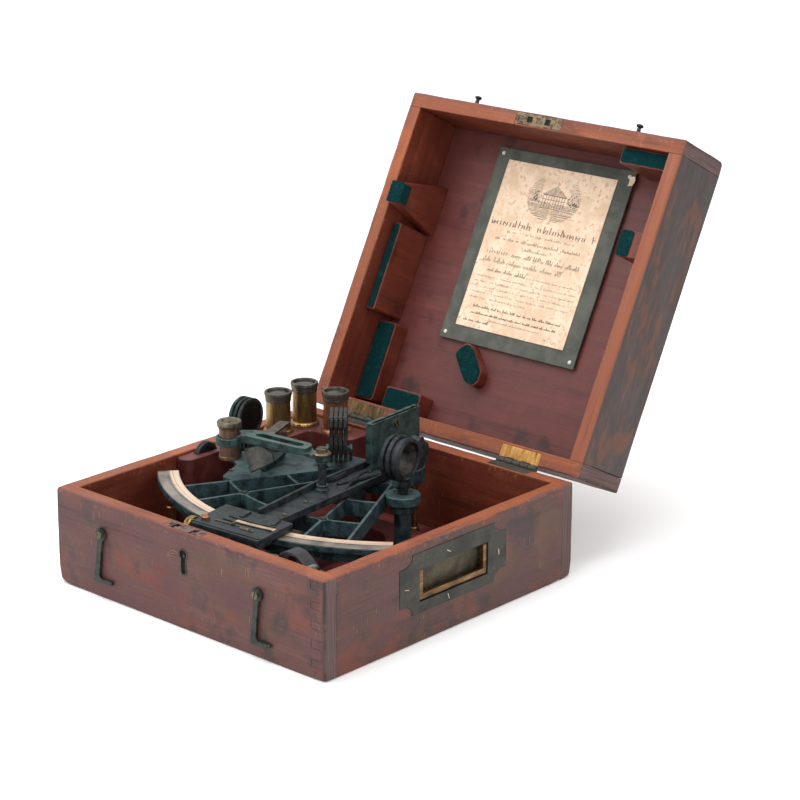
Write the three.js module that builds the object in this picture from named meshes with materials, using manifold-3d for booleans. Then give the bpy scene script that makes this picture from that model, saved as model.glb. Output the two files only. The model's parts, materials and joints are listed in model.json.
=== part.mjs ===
// A vernier sextant lying in its fitted case, with the lid open.
// Millimetres, +Z up. The origin is the centre of the case's underside; the front is -Y, the hinges +Y.
import * as THREE from 'three';
import { mergeVertices } from 'three/addons/utils/BufferGeometryUtils.js';
import Module from 'manifold-3d';

// ---- driving dimensions ----
const caseWidth = 280;          // outside, along X
const caseDepth = 272;          // outside, along Y
const trayHeight = 76;          // underside to the rim
const lidTop = 134;             // top of the closed lid
const wall = 12;                // thickness of the side boards
const floorTop = 9;             // upper face of the bottom board
const lidPanel = 127;           // inner face of the lid's top board, lid closed
const lidOpening = 117.4;       // degrees from closed to the stop
const seat = 0.3;               // gap left between touching pieces inside a turned group
const hingeOffset = 2.7;        // knuckle axis behind the back face

const pivot = [1, 90];          // centre of the arc, seen from above
const plateTop = 69.4;          // top of the frame casting
const ribBottom = 57;           // underside of the frame's ribs
const limbBottom = 65;          // underside of the limb
const scaleTop = 70;            // top of the graduated arc
const limbInner = 169.1;
const limbOuter = 186.3;
const limbEnds = [-42.2, 41.6]; // degrees from straight ahead (-Y) towards +X
const armAngle = 4.7;           // degrees the index arm stands to the right
const ribThickness = 2.2;

const halfWidth = caseWidth / 2;
const halfDepth = caseDepth / 2;
const innerX = halfWidth - wall;
const innerY = halfDepth - wall;
const hingeY = halfDepth + hingeOffset;

const wasm = await Module();
wasm.setup();

// ---- materials ----
function finish(color, roughness, metalness) {
  return new THREE.MeshStandardMaterial({ color, roughness, metalness });
}
const materials = {
  mahogany: finish(0x6e463e, 0.6, 0),
  mahoganyInside: finish(0x7a3b28, 0.6, 0),
  bronze: finish(0x2f4a46, 0.6, 0.7),
  darkIron: finish(0x45463f, 0.6, 0.8),
  brass: finish(0xa88a50, 0.45, 0.9),
  silver: finish(0xd8c0aa, 0.4, 0.8),
  blackened: finish(0x25262a, 0.6, 0.3),
  shadeGlass: finish(0x101214, 0.1, 0),
  mirrorGlass: finish(0x9aa6a8, 0.05, 0.9),
  ebony: finish(0x1c1613, 0.5, 0),
  card: finish(0x5a5d58, 0.9, 0),
};

// ---- solids: closed geometries, joined and cut ----
function toSolid(geometry) {
  const bare = geometry.clone();
  bare.deleteAttribute('normal');
  bare.deleteAttribute('uv');
  const welded = mergeVertices(bare, 1e-4);
  return new wasm.Manifold(new wasm.Mesh({
    numProp: 3,
    vertProperties: new Float32Array(welded.attributes.position.array),
    triVerts: new Uint32Array(welded.index.array),
  }));
}

function fromSolid(solid) {
  const mesh = solid.getMesh();
  const geometry = new THREE.BufferGeometry();
  geometry.setAttribute('position', new THREE.BufferAttribute(mesh.vertProperties, 3));
  geometry.setIndex(new THREE.BufferAttribute(mesh.triVerts, 1));
  geometry.computeVertexNormals();
  return geometry;
}

function join(...geometries) {
  return fromSolid(geometries.map(toSolid).reduce((whole, next) => whole.add(next)));
}

function cut(body, ...cutters) {
  return fromSolid(cutters.map(toSolid).reduce((left, cutter) => left.subtract(cutter), toSolid(body)));
}

function box(x0, x1, y0, y1, z0, z1) {
  const geometry = new THREE.BoxGeometry(x1 - x0, y1 - y0, z1 - z0);
  geometry.translate((x0 + x1) / 2, (y0 + y1) / 2, (z0 + z1) / 2);
  return geometry;
}

function outline(points) {
  return new THREE.Shape(points.map(([x, y]) => new THREE.Vector2(x, y)));
}

// A shape in the XY plane given thickness from z0 to z1.
function slab(shape, z0, z1, curveSegments = 12) {
  const geometry = new THREE.ExtrudeGeometry(shape, { depth: z1 - z0, bevelEnabled: false, curveSegments });
  geometry.translate(0, 0, z0);
  return geometry;
}

// A shape given as (x, z) points, with thickness from y0 to y1.
function frontSlab(shape, y0, y1, curveSegments = 12) {
  const geometry = slab(shape, -y1, -y0, curveSegments);
  geometry.rotateX(Math.PI / 2);
  return geometry;
}

// A shape given as (y, z) points, with thickness from x0 to x1.
function sideSlab(shape, x0, x1) {
  const geometry = slab(shape, x0, x1);
  geometry.rotateX(Math.PI / 2);
  geometry.rotateZ(Math.PI / 2);
  return geometry;
}

// A turned body about Z, from (radius, z) points that start and end on the axis.
function turned(profile, segments = 24) {
  const points = profile.map(([radius, z]) => new THREE.Vector2(radius, z));
  const geometry = new THREE.LatheGeometry(points, segments);
  geometry.rotateX(Math.PI / 2);
  return geometry;
}

function disc(radius, z0, z1, segments = 24) {
  return turned([[0, z0], [radius, z0], [radius, z1], [0, z1]], segments);
}

// Lays a body that was made along +Z along another direction, then moves it.
function aim(geometry, direction, position = [0, 0, 0]) {
  const turn = new THREE.Quaternion().setFromUnitVectors(
    new THREE.Vector3(0, 0, 1), new THREE.Vector3(...direction).normalize());
  geometry.applyQuaternion(turn);
  geometry.translate(...position);
  return geometry;
}

function rod(radius, from, to, segments = 12) {
  const start = new THREE.Vector3(...from);
  const way = new THREE.Vector3(...to).sub(start);
  return aim(disc(radius, 0, way.length(), segments), way.toArray(), from);
}

function shifted(geometry, x, y, z = 0) {
  geometry.translate(x, y, z);
  return geometry;
}

// A level direction, in degrees from +X.
function heading(angle) {
  const turn = THREE.MathUtils.degToRad(angle);
  return [Math.cos(turn), Math.sin(turn), 0];
}

// A point on a circle round the pivot: angle in degrees from -Y towards +X.
function polar(radius, angle) {
  const turn = THREE.MathUtils.degToRad(angle);
  return [radius * Math.sin(turn), -radius * Math.cos(turn)];
}

// A flat ring sector round the pivot.
function sector(inner, outer, from, to, z0, z1, step = 3) {
  const count = Math.max(2, Math.ceil((to - from) / step));
  const angles = Array.from({ length: count + 1 }, (_, i) => from + (to - from) * i / count);
  const outside = angles.map((angle) => polar(outer, angle));
  const inside = inner > 0 ? angles.map((angle) => polar(inner, angle)).reverse() : [[0, 0]];
  return slab(outline([...outside, ...inside]), z0, z1);
}

// An upright wall of even thickness between two points seen from above.
function rib(from, to, thickness, z0, z1) {
  const length = Math.hypot(to[0] - from[0], to[1] - from[1]);
  const geometry = box(0, length, -thickness / 2, thickness / 2, z0, z1);
  geometry.rotateZ(Math.atan2(to[1] - from[1], to[0] - from[0]));
  return shifted(geometry, from[0], from[1]);
}

function piece(group, name, geometry, material) {
  const mesh = new THREE.Mesh(geometry, material);
  mesh.name = name;
  group.add(mesh);
  return mesh;
}

// ================= the case =================

const lockLeft = -23;
const lockRight = 16;
const lockInset = 1.1;          // bare wood in front of and behind the lock's face plate
const lockFace = 2;             // thickness of the face plate
const lockBodyHalf = 16;        // half the width of the lock's body
const lockBodyInset = 2.5;
const lockBodyBottom = 45;
const panLow = [-59.5, 22.5];   // lower front corner of the handle plate: y, z
const panHigh = [57.5, 69];
const dishLow = [-38.5, 31];    // the handle plate's dished recess
const dishHigh = [36.5, 56];
const dishDepth = 8;
const hingeCentres = [-82, 82];
const hingeLength = 39;
const leafWidth = 10;
const leafThickness = 1.6;

function lockPocket() {
  const centre = (lockLeft + lockRight) / 2;
  const half = lockBodyHalf + seat;
  const inset = lockInset - seat;
  const bodyInset = lockBodyInset - seat;
  const plate = box(lockLeft - seat, lockRight + seat, -halfDepth + inset, -innerY - inset,
    trayHeight - lockFace - seat, trayHeight + 1);
  const body = box(centre - half, centre + half, -halfDepth + bodyInset, -innerY - bodyInset,
    lockBodyBottom - seat, trayHeight);
  return join(plate, body);
}

function keyhole(y0, y1) {
  const round = frontSlab(new THREE.Shape().absarc(0, 55, 2.4, 0, 2 * Math.PI), y0, y1, 8);
  return join(round, box(-1.3, 1.3, y0, y1, 46, 54));
}

function frontBoard() {
  const board = box(-halfWidth, halfWidth, -halfDepth, -innerY, 0, trayHeight);
  return cut(board, lockPocket(), shifted(keyhole(-halfDepth - 1, -halfDepth + 4), -1, 0));
}

function backBoard() {
  const board = box(-halfWidth, halfWidth, innerY, halfDepth, 0, trayHeight);
  const bottom = trayHeight - leafThickness - seat;
  return cut(board, ...hingeCentres.map((x) => leafPocket(x, bottom, trayHeight + 1)));
}

function leafPocket(x, z0, z1) {
  const half = hingeLength / 2 + seat;
  return box(x - half, x + half, halfDepth - leafWidth - seat, halfDepth + 1, z0, z1);
}

function rightBoard() {
  const board = box(innerX, halfWidth, -innerY, innerY, 0, trayHeight);
  const face = sideSlab(panOutline(seat), halfWidth - 1.5, halfWidth + 1);
  const dish = box(halfWidth - dishDepth - 1.6, halfWidth, dishLow[0] - 1.6, dishHigh[0] + 1.6,
    dishLow[1] - 1.6, dishHigh[1] + 1.6);
  return cut(board, face, dish);
}

// The handle plate's outline, with its corners cut off, as (y, z) points grown by a margin.
function panOutline(margin) {
  const [across, up] = [16, 8.5];
  const [y0, z0] = [panLow[0] - margin, panLow[1] - margin];
  const [y1, z1] = [panHigh[0] + margin, panHigh[1] + margin];
  return outline([[y0 + across, z0], [y1 - across, z0], [y1, z0 + up], [y1, z1 - up],
    [y1 - across, z1], [y0 + across, z1], [y0, z1 - up], [y0, z0 + up]]);
}

function handlePan() {
  const face = sideSlab(panOutline(0), halfWidth - 1.2, halfWidth + 0.4);
  const shell = box(halfWidth - dishDepth - 1.2, halfWidth - 0.2, dishLow[0] - 1.2, dishHigh[0] + 1.2,
    dishLow[1] - 1.2, dishHigh[1] + 1.2);
  const hollow = box(halfWidth - dishDepth, halfWidth + 1, dishLow[0], dishHigh[0],
    dishLow[1], dishHigh[1]);
  return cut(join(face, shell), hollow);
}

const bailRadius = 2.1;
const bailAxis = [halfWidth - 2.4, 53.4];   // x, z of the line the bail swings about

function carryBail() {
  const middle = (dishLow[0] + dishHigh[0]) / 2;
  const reach = (dishHigh[0] - dishLow[0]) / 2 - 3.2;
  const [x, top] = bailAxis;
  const bottom = dishLow[1] + bailRadius + 1.4;
  const pinHalf = 2.4;
  const ends = [middle - reach, middle + reach];
  const arms = ends.map((y) => rod(bailRadius, [x, y, top], [x, y, bottom], 10));
  const bar = rod(bailRadius, [x, ends[0], bottom], [x, ends[1], bottom], 10);
  const pins = ends.map((y) => rod(bailRadius, [x, y - pinHalf, top], [x, y + pinHalf, top], 10));
  return join(bar, ...arms, ...pins);
}

function lockPlate() {
  const centre = (lockLeft + lockRight) / 2;
  const plate = box(lockLeft, lockRight, -halfDepth + lockInset, -innerY - lockInset,
    trayHeight - lockFace, trayHeight);
  const body = box(centre - lockBodyHalf, centre + lockBodyHalf, -halfDepth + lockBodyInset,
    -innerY - lockBodyInset, lockBodyBottom, trayHeight - lockFace);
  const slots = [-12.7, 5.5].map((x) => box(x - 2.6, x + 2.6, -132, -128, trayHeight - 9, trayHeight + 1));
  return cut(join(plate, body), ...slots);
}

// One leaf with its barrel knuckles; the knuckles are the odd or the even fifths of the length.
function hingeLeaf(x, z0, z1, fifths) {
  const leaf = box(x - hingeLength / 2, x + hingeLength / 2, halfDepth - leafWidth, halfDepth, z0, z1);
  const fifth = hingeLength / 5;
  const side = z0 < trayHeight ? -1 : 1;
  const knuckles = fifths.map((i) => {
    const start = x - hingeLength / 2 + i * fifth + 0.2;
    const barrel = rod(2.4, [start, hingeY, trayHeight], [start + fifth - 0.4, hingeY, trayHeight], 12);
    const neck = box(start, start + fifth - 0.4, halfDepth - 1, hingeY - 1.6,
      trayHeight + Math.min(side * 0.3, side * 1.9), trayHeight + Math.max(side * 0.3, side * 1.9));
    return join(barrel, neck);
  });
  return join(leaf, ...knuckles);
}

// A round bar along the hinge's axis, shorter than the leaf by some at each end.
function hingeRod(x, radius, shorter) {
  const half = hingeLength / 2 - shorter;
  return rod(radius, [x - half, hingeY, trayHeight], [x + half, hingeY, trayHeight], 8);
}

function lowerLeaf(x) {
  return join(hingeLeaf(x, trayHeight - leafThickness, trayHeight, [0, 2, 4]), hingeRod(x, 1.1, 0.4));
}

function upperLeaf(x) {
  const leaf = hingeLeaf(x, trayHeight + seat, trayHeight + seat + leafThickness, [1, 3]);
  return cut(leaf, hingeRod(x, 1.4, 0));
}

// The spare telescopes: where each stands, seen from above, and the height of its top.
const scopes = [
  { name: 'telescope_front', at: [-114, 75], top: 108 },
  { name: 'telescope_corner', at: [-113, 104], top: 109.5 },
  { name: 'telescope_back', at: [-81, 107], top: 108 },
];
const scopeRadius = 9.8;
const blockTop = 74;
const wellBottom = 38;

function telescopeBlock() {
  const shape = outline([[-innerX, 52], [-104, 52], [-98, 58], [-98, 92], [-95, 95], [-62, 95], [-56, 101],
    [-56, innerY], [-innerX, innerY]]);
  const wells = scopes.map(({ at }) => shifted(disc(10.3, wellBottom, blockTop + 1), ...at));
  return cut(slab(shape, floorTop, blockTop), ...wells);
}

function leftBlock() {
  const shape = outline([[-innerX, -25], [-119, -25], [-114, -20], [-114, 44], [-119, 49], [-innerX, 49]]);
  return cut(slab(shape, floorTop, blockTop), box(-125.3, -119.3, -9.5, 13.5, 59.5, blockTop + 1));
}

function frontBlock() {
  const shape = outline([[56, -innerY], [120, -innerY], [120, -112], [114, -106], [62, -106], [56, -112]]);
  return slab(shape, floorTop, 67.5);
}

// A low block on the floor with a round-ended channel that the sextant's handle lies in.
function handleCradle() {
  const channel = new THREE.Shape();
  channel.moveTo(-28, -56);
  channel.lineTo(24, -56);
  channel.lineTo(24, 42);
  channel.absarc(-2, 42, 26, 0, Math.PI);
  const hollow = slab(channel, floorTop - 1, 21, 10);
  const block = cut(box(-80, 60, -70, 90, floorTop, 20), hollow);
  return block;
}

// A turn button with a hollowed arch, on the front block.
function frontKeeper() {
  const arch = new THREE.Shape();
  arch.moveTo(76, 68);
  arch.lineTo(112, 68);
  arch.lineTo(112, 71);
  arch.quadraticCurveTo(104, 81, 92, 81);
  arch.quadraticCurveTo(80, 80, 76, 73);
  const bar = frontSlab(arch, -122, -110, 5);
  const window = box(96, 103.5, -117.5, -105, 70.5, 77);
  return cut(bar, window);
}

const hookLean = 4.5;           // the foot's weight swings the shank a little to the left
const hookPivots = [
  { name: 'hook_left', x: -88.5, z: 51.5 },
  { name: 'hook_right', x: 76, z: 49 },
];

// A flat hook on the front: an eye, a shank and a foot turned to the right.
function hook(x, z) {
  const y0 = -halfDepth - 3;
  const y1 = -halfDepth - 0.4;
  const head = aim(turned([[0, 0], [5, 0], [5, 2.6], [3, 4.4], [0, 4.4]], 12), [0, -1, 0], [0, y1, 0]);
  const shank = box(-2.2, 2.2, y0, y1, -37, 0);
  const foot = box(-2.2, 14, y0, y1, -39.2, -35);
  const body = join(head, shank, foot);
  body.rotateY(THREE.MathUtils.degToRad(hookLean));
  return shifted(body, x, 0, z);
}

function buildCase() {
  const tray = new THREE.Group();
  const { mahogany, mahoganyInside, darkIron, brass, blackened } = materials;
  piece(tray, 'case_front_board', frontBoard(), mahogany);
  piece(tray, 'case_back_board', backBoard(), mahogany);
  piece(tray, 'case_left_board', box(-halfWidth, -innerX, -innerY, innerY, 0, trayHeight), mahogany);
  piece(tray, 'case_right_board', rightBoard(), mahogany);
  piece(tray, 'case_bottom_board', box(-innerX, innerX, -innerY, innerY, 0, floorTop), mahoganyInside);
  piece(tray, 'telescope_block', telescopeBlock(), mahoganyInside);
  piece(tray, 'left_block', leftBlock(), mahoganyInside);
  piece(tray, 'front_block', frontBlock(), mahoganyInside);
  piece(tray, 'handle_cradle', handleCradle(), mahoganyInside);
  piece(tray, 'lock', lockPlate(), darkIron);
  piece(tray, 'handle_pan', handlePan(), darkIron);
  piece(tray, 'carry_bail', carryBail(), brass);
  piece(tray, 'hinge_leaf_lower_left', lowerLeaf(hingeCentres[0]), brass);
  piece(tray, 'hinge_leaf_lower_right', lowerLeaf(hingeCentres[1]), brass);
  piece(tray, 'front_keeper', frontKeeper(), blackened);
  hookPivots.forEach(({ name, x, z }) => piece(tray, name, hook(x, z), darkIron));
  return tray;
}

// ================= the lid, drawn closed =================

function lidBackBoard() {
  const board = box(-halfWidth, halfWidth, innerY, halfDepth, trayHeight + seat, lidTop);
  const top = trayHeight + leafThickness + 2 * seat;
  return cut(board, ...hingeCentres.map((x) => leafPocket(x, trayHeight, top)));
}

function lidFrontBoard() {
  const board = box(-halfWidth, halfWidth, -halfDepth, -innerY, trayHeight + seat, lidTop);
  const inset = lockInset - seat;
  const pocket = box(lockLeft - seat, lockRight + seat, -halfDepth + inset, -innerY - inset,
    trayHeight, trayHeight + lockFace + 2 * seat);
  return cut(board, pocket);
}

function lidStud(x) {
  const profile = [[0, 0], [3.4, 0], [3.4, 0.8], [1.6, 1.6], [1.6, 5], [3, 5.6], [3, 7], [1.6, 7.8],
    [0, 7.8]];
  return aim(turned(profile, 12), [0, -1, 0], [x, -halfDepth - seat, 87]);
}

// The lid's keepers stop just short of what they hold when the lid is shut.
function keeperWedge() {
  const root = lidPanel - seat;
  const shape = outline([[-71, root], [-58, 72], [-41, 72], [-28, root]]);
  return sideSlab(shape, -innerX + seat, -114);
}

function keeperPost() {
  const shape = outline([[-19, -5], [-14, -8.5], [12, -8.5], [19, -2], [19, 4], [13, 8.5], [-16, 8.5],
    [-19, 5]]);
  const post = slab(shape, 117, lidPanel - seat);
  post.rotateZ(THREE.MathUtils.degToRad(47));
  return shifted(post, -25, 70);
}

function buildLid() {
  const lid = new THREE.Group();
  const turnedBack = new THREE.Group();
  lid.position.set(0, hingeY, trayHeight);
  lid.rotation.x = -THREE.MathUtils.degToRad(lidOpening);
  turnedBack.position.set(0, -hingeY, -trayHeight);
  lid.add(turnedBack);
  const { mahogany, mahoganyInside, darkIron, brass, card } = materials;
  const low = trayHeight + seat;
  const sideEnd = innerY - seat;
  const panelX = innerX - seat;
  piece(turnedBack, 'lid_front_board', lidFrontBoard(), mahogany);
  piece(turnedBack, 'lid_back_board', lidBackBoard(), mahogany);
  const leftBoard = box(-halfWidth, -innerX, -sideEnd, sideEnd, low, lidTop);
  const rightSide = box(innerX, halfWidth, -sideEnd, sideEnd, low, lidTop);
  const topBoard = box(-panelX, panelX, -sideEnd, sideEnd, lidPanel, lidTop);
  const strike = box(lockLeft, lockRight, -halfDepth + lockInset, -innerY - lockInset, low, low + lockFace);
  const mat = box(-71, 70, -114, 52, lidPanel - 3.5, lidPanel - 1.7);
  const strip = box(-panelX, -119, -28, 48, 90, lidPanel - seat);
  const tall = box(-panelX, -108, 52, 120, 111, lidPanel - seat);
  piece(turnedBack, 'lid_left_board', leftBoard, mahogany);
  piece(turnedBack, 'lid_right_board', rightSide, mahogany);
  piece(turnedBack, 'lid_top_board', topBoard, mahoganyInside);
  piece(turnedBack, 'hinge_leaf_upper_left', upperLeaf(hingeCentres[0]), brass);
  piece(turnedBack, 'hinge_leaf_upper_right', upperLeaf(hingeCentres[1]), brass);
  piece(turnedBack, 'strike_plate', strike, brass);
  piece(turnedBack, 'hook_stud_left', lidStud(-80), darkIron);
  piece(turnedBack, 'hook_stud_right', lidStud(86), darkIron);
  piece(turnedBack, 'certificate_mat', mat, card);
  piece(turnedBack, 'lid_keeper_wedge', keeperWedge(), mahoganyInside);
  piece(turnedBack, 'lid_keeper_strip', strip, mahoganyInside);
  piece(turnedBack, 'lid_keeper_tall', tall, mahoganyInside);
  piece(turnedBack, 'lid_keeper_post', keeperPost(), mahoganyInside);
  return lid;
}

// ================= telescopes and eyepiece kept in the case =================

function telescope(top) {
  const profile = [[0, wellBottom + 2], [9.4, wellBottom + 2], [9.4, blockTop], [12, blockTop],
    [12, blockTop + 2.2], [scopeRadius, blockTop + 3], [scopeRadius, top - 9], [10.5, top - 8.4],
    [10.5, top - 2.4], [11.2, top - 2], [11.2, top], [8.4, top], [7.6, top - 6], [0, top - 6]];
  return turned(profile, 20);
}

function eyepieceCap() {
  const ring = turned([[0, -2], [8, -2], [8, -2.6], [11, -2.6], [11, 2.6], [8, 2.6], [8, 2], [0, 2]], 24);
  return aim(ring, [1, 0, 0], [-122.3, 2, 70.8]);
}

function buildStowed() {
  const stowed = new THREE.Group();
  scopes.forEach(({ name, at, top }) => {
    piece(stowed, name, shifted(telescope(top), ...at), materials.brass);
  });
  piece(stowed, 'eyepiece_cap', eyepieceCap(), materials.blackened);
  return stowed;
}

// ================= the sextant, drawn about its pivot =================

const rightRibOuter = [[25.7, -32.5], [87.4, -149.8]];
const rightRibInner = [[9.5, -47.4], [41.3, -125.7], [56.6, -163.3]];
const boss = [48, -46];         // carries the telescope collar
const handleX = -3;
const handleZ = 32;
const apexRadius = 27.5;
const boreRadius = 7;
const crossRadius = 133.5;      // the rib that runs right across
const shortRadius = 87.6;       // the two short ribs nearer the pivot

function mirrored(points) {
  return points.map(([x, y]) => [-x, y]);
}

function chain(points) {
  return points.slice(1).map((end, i) => rib(points[i], end, ribThickness, ribBottom, plateTop));
}

function latticeRibs() {
  const rows = [rightRibOuter, rightRibInner, mirrored(rightRibOuter), mirrored(rightRibInner)];
  const half = ribThickness / 2;
  const arched = (radius, from, to) => sector(radius - half, radius + half, from, to, ribBottom, plateTop);
  const cross = arched(crossRadius, -31, 31);
  const short = [arched(shortRadius, 16, 33), arched(shortRadius, -33, -16)];
  const nodes = [41.3, -41.3].map((x) => shifted(disc(3.4, ribBottom, plateTop, 10), x, -125.7));
  return [...rows.flatMap(chain), cross, ...short, ...nodes];
}

function limb() {
  const [from, to] = limbEnds;
  return [sector(limbInner, limbOuter, from, to, limbBottom, plateTop),
    sector(176, 180, from + 1, to - 1, ribBottom, limbBottom + 0.5)];
}

function apex() {
  return [disc(apexRadius, ribBottom, plateTop, 32), sector(0, 46, -39, 39, 60, plateTop, 6)];
}

// The handle hangs on two brackets under the frame.
function handleBrackets() {
  return [[-47.5, -41], [-137, -131]].map(([y0, y1]) => (
    box(handleX - 6, handleX + 6, y0, y1, handleZ - 8, plateTop - 6)));
}

function collarBoss() {
  return [shifted(disc(13.5, 61, plateTop, 24), ...boss), shifted(disc(6.6, 21, 62, 16), ...boss)];
}

// Wing plates that carry the horizon mirror, the horizon shades and the index shades.
const horizonWing = [[-32.5, -46], [-42, -36], [-56, -34], [-78, -34], [-111, -54], [-111, -76],
  [-92, -84], [-80, -112], [-67, -112]];
const shadeWing = [[-18, -18], [-22, -6], [-48, -12], [-54, -22], [-30, -38]];

const horizonShadeAxis = heading(7.5);
const horizonPin = [-100.7, -65.2, 76];       // middle of the pin the round shades turn on
const horizonPitch = 4.3;
const indexShadeAxis = heading(42.2);
const indexShadeSide = [indexShadeAxis[1], -indexShadeAxis[0]];   // along the shades' width
const indexPin = [-29 - 14 * indexShadeSide[0], -30 - 14 * indexShadeSide[1], 79];
const indexPitch = 3.6;

function along(point, direction, distance) {
  return point.map((value, i) => value + direction[i] * distance);
}

// A pin between two uprights, standing on the frame.
function shadePin(centre, axis, halfSpan, radius) {
  const ends = [-halfSpan, halfSpan].map((distance) => along(centre, axis, distance));
  const uprights = ends.map(([x, y]) => {
    const post = box(-1.2, 1.2, -3.6, 3.6, plateTop - 1, centre[2] + 3);
    post.rotateZ(Math.atan2(axis[1], axis[0]));
    return shifted(post, x, y);
  });
  return [rod(radius, ends[0], ends[1], 10), ...uprights];
}

function sextantFrame() {
  const body = join(...limb(), ...latticeRibs(), ...apex(), ...collarBoss(), ...handleBrackets(),
    slab(outline(horizonWing), 66, plateTop), slab(outline(shadeWing), 62, plateTop),
    ...shadePin(horizonPin, horizonShadeAxis, 8.2, 1.5), ...shadePin(indexPin, indexShadeAxis, 9.2, 1.5));
  const stemBore = shifted(disc(4.4, 10, 80, 16), ...boss);
  return cut(body, disc(boreRadius, 50, 80, 24), stemBore);
}

function handleGrip() {
  const length = 83;
  const profile = [[0, 0], [9, 0], [12.5, 8], [14, 24], [14, length - 24], [12.5, length - 8],
    [9, length], [0, length]];
  return aim(turned(profile, 20), [0, -1, 0], [handleX, -47.8, handleZ]);
}

function leg(x, y, top) {
  const profile = [[0, floorTop], [4.2, floorTop], [4.2, floorTop + 3], [3, floorTop + 8],
    [4, top - 5], [4.6, top], [0, top]];
  return shifted(turned(profile, 14), x, y);
}

// The telescope collar: a threaded ring, its adjusting flange and the stem that slides in the boss.
const collarAxis = [0.987, 0.16, 0];
const collarHeight = 97;

function risingPiece() {
  const centre = [boss[0], boss[1], collarHeight];
  const profile = [[0, -6], [16.4, -6], [17.7, -5], [17.7, -2], [16.4, -1.4], [16.4, 4.6], [15, 6], [0, 6]];
  const ring = aim(turned(profile, 28), collarAxis, centre);
  const flange = aim(turned([[0, -10], [17.5, -10], [17.5, -6.5], [0, -6.5]], 28), collarAxis, centre);
  const neck = aim(disc(15, -7, -5, 28), collarAxis, centre);
  const lugShape = box(-9.8, -6.6, 12, 25, -10, 8);
  lugShape.rotateZ(Math.atan2(collarAxis[1], collarAxis[0]));
  const lug = shifted(lugShape, ...centre);
  const stem = shifted(disc(4, 29, collarHeight - 14, 16), ...boss);
  const foot = shifted(disc(6.4, plateTop + 4, collarHeight - 15.5, 16), ...boss);
  const bore = aim(disc(13, -12, 12, 28), collarAxis, centre);
  return cut(join(ring, flange, neck, lug, stem, foot), bore);
}

// One round shade: glass in a rim, on a lug that turns on the pin.
function horizonShade(offset) {
  const pin = along(horizonPin, horizonShadeAxis, offset);
  const centre = [pin[0], pin[1], 102];
  const rim = aim(disc(15.5, -1.3, 1.3, 28), horizonShadeAxis, centre);
  const lug = box(-1.3, 1.3, -3.2, 3.2, -3, 13);
  lug.rotateZ(Math.atan2(horizonShadeAxis[1], horizonShadeAxis[0]));
  const bore = rod(1.8, along(pin, horizonShadeAxis, -3), along(pin, horizonShadeAxis, 3), 12);
  return cut(join(rim, shifted(lug, ...pin)), bore);
}

// One square shade: it turns on a pin near its outer lower corner.
function indexShade(offset) {
  const pin = along(indexPin, indexShadeAxis, offset);
  const plate = box(-1.3, 1.3, -30, 2, -3, 37);
  plate.rotateZ(Math.atan2(indexShadeAxis[1], indexShadeAxis[0]));
  const bore = rod(1.8, along(pin, indexShadeAxis, -3), along(pin, indexShadeAxis, 3), 12);
  return cut(shifted(plate, ...pin), bore);
}

function horizonMirrorFrame() {
  const plate = box(-2, 2, -20.5, 20.5, 0, 98 - plateTop);
  const foot = box(-7, 2, -12, 12, 0, 3);
  return join(plate, foot);
}

function buildHorizonMirror(sextant) {
  const mirror = new THREE.Group();
  mirror.position.set(-71.5, -65, plateTop);
  mirror.rotation.z = THREE.MathUtils.degToRad(21.5);
  piece(mirror, 'horizon_mirror_frame', horizonMirrorFrame(), materials.bronze);
  piece(mirror, 'horizon_mirror_glass', box(2 + seat, 4.6, -18, 18, 5, 27), materials.mirrorGlass);
  sextant.add(mirror);
}

// ================= the index arm, drawn pointing to -Y =================

const magnifierPost = [-0.5, -91.3];
const tangentHead = [-40, -193.4];
const webLow = 71;              // underside of the arm's long plate
const webHigh = 74;

function indexArmBody() {
  const hub = disc(26, 69.9, 75, 32);
  const journal = disc(boreRadius - 0.3, 53, 70.5, 24);
  const nut = disc(11, 52, ribBottom - 0.3, 16);
  const webShape = [[-12, -18], [-9.5, -88], [-8, -165], [20, -165], [18.5, -36], [17, -16]];
  const finShape = [[-8.5, -24], [-9.5, -88], [-3.4, -163], [-0.8, -163], [-6.4, -88], [-5.6, -24]];
  const flangeShape = [[15.6, -34], [17.2, -163], [19.8, -163], [18.2, -34]];
  const web = slab(outline(webShape), webLow, webHigh);
  const fin = slab(outline(finShape), webHigh - 1, 79);
  const flange = slab(outline(flangeShape), webHigh - 1, 76);
  const plate = slab(outline([[-30, -206.5], [35, -207], [31.5, -163.5], [-34, -162.5]]), 70.5, 76);
  const lip = slab(outline([[-30, -206.5], [35, -207], [33.6, -190], [-31.3, -190]]), 68.5, 71);
  const postProfile = [[0, 73], [5, 73], [5, 75.5], [3.3, 77], [3.3, 97.6], [2.4, 97.6], [2.4, 101.4],
    [5.6, 101.4], [6.2, 103], [4.4, 104.6], [0, 104.6]];
  const post = turned(postProfile, 16);
  return join(hub, journal, nut, web, fin, flange, plate, lip, shifted(post, ...magnifierPost));
}

function indexMirrorFrame() {
  const back = box(0.5, 3.5, -35, 25, 75, 112);
  const foot = box(-4, 14, -20, 20, 75, 77.5);
  const clips = [[-35, -32.5], [22.5, 25]].map(([y0, y1]) => box(-3.5, 1, y0, y1, 79, 110));
  return join(back, foot, ...clips);
}

function clampScrew() {
  return shifted(turned([[0, 76], [3.4, 76], [3.4, 79], [2.8, 80.2], [0, 80.2]], 14), -24.6, -195.9);
}

function tangentScrew() {
  const head = turned([[0, -2.6], [7, -2.6], [8, -1.8], [8, 1.8], [7, 2.6], [0, 2.6]], 20);
  const screw = disc(1.6, 2, 36, 10);
  return aim(join(head, screw), [1, 0, 0], [...tangentHead, 66]);
}

// The magnifier swings on its post: +X runs from the post to the ring.
const ringReach = 83.7;

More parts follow.
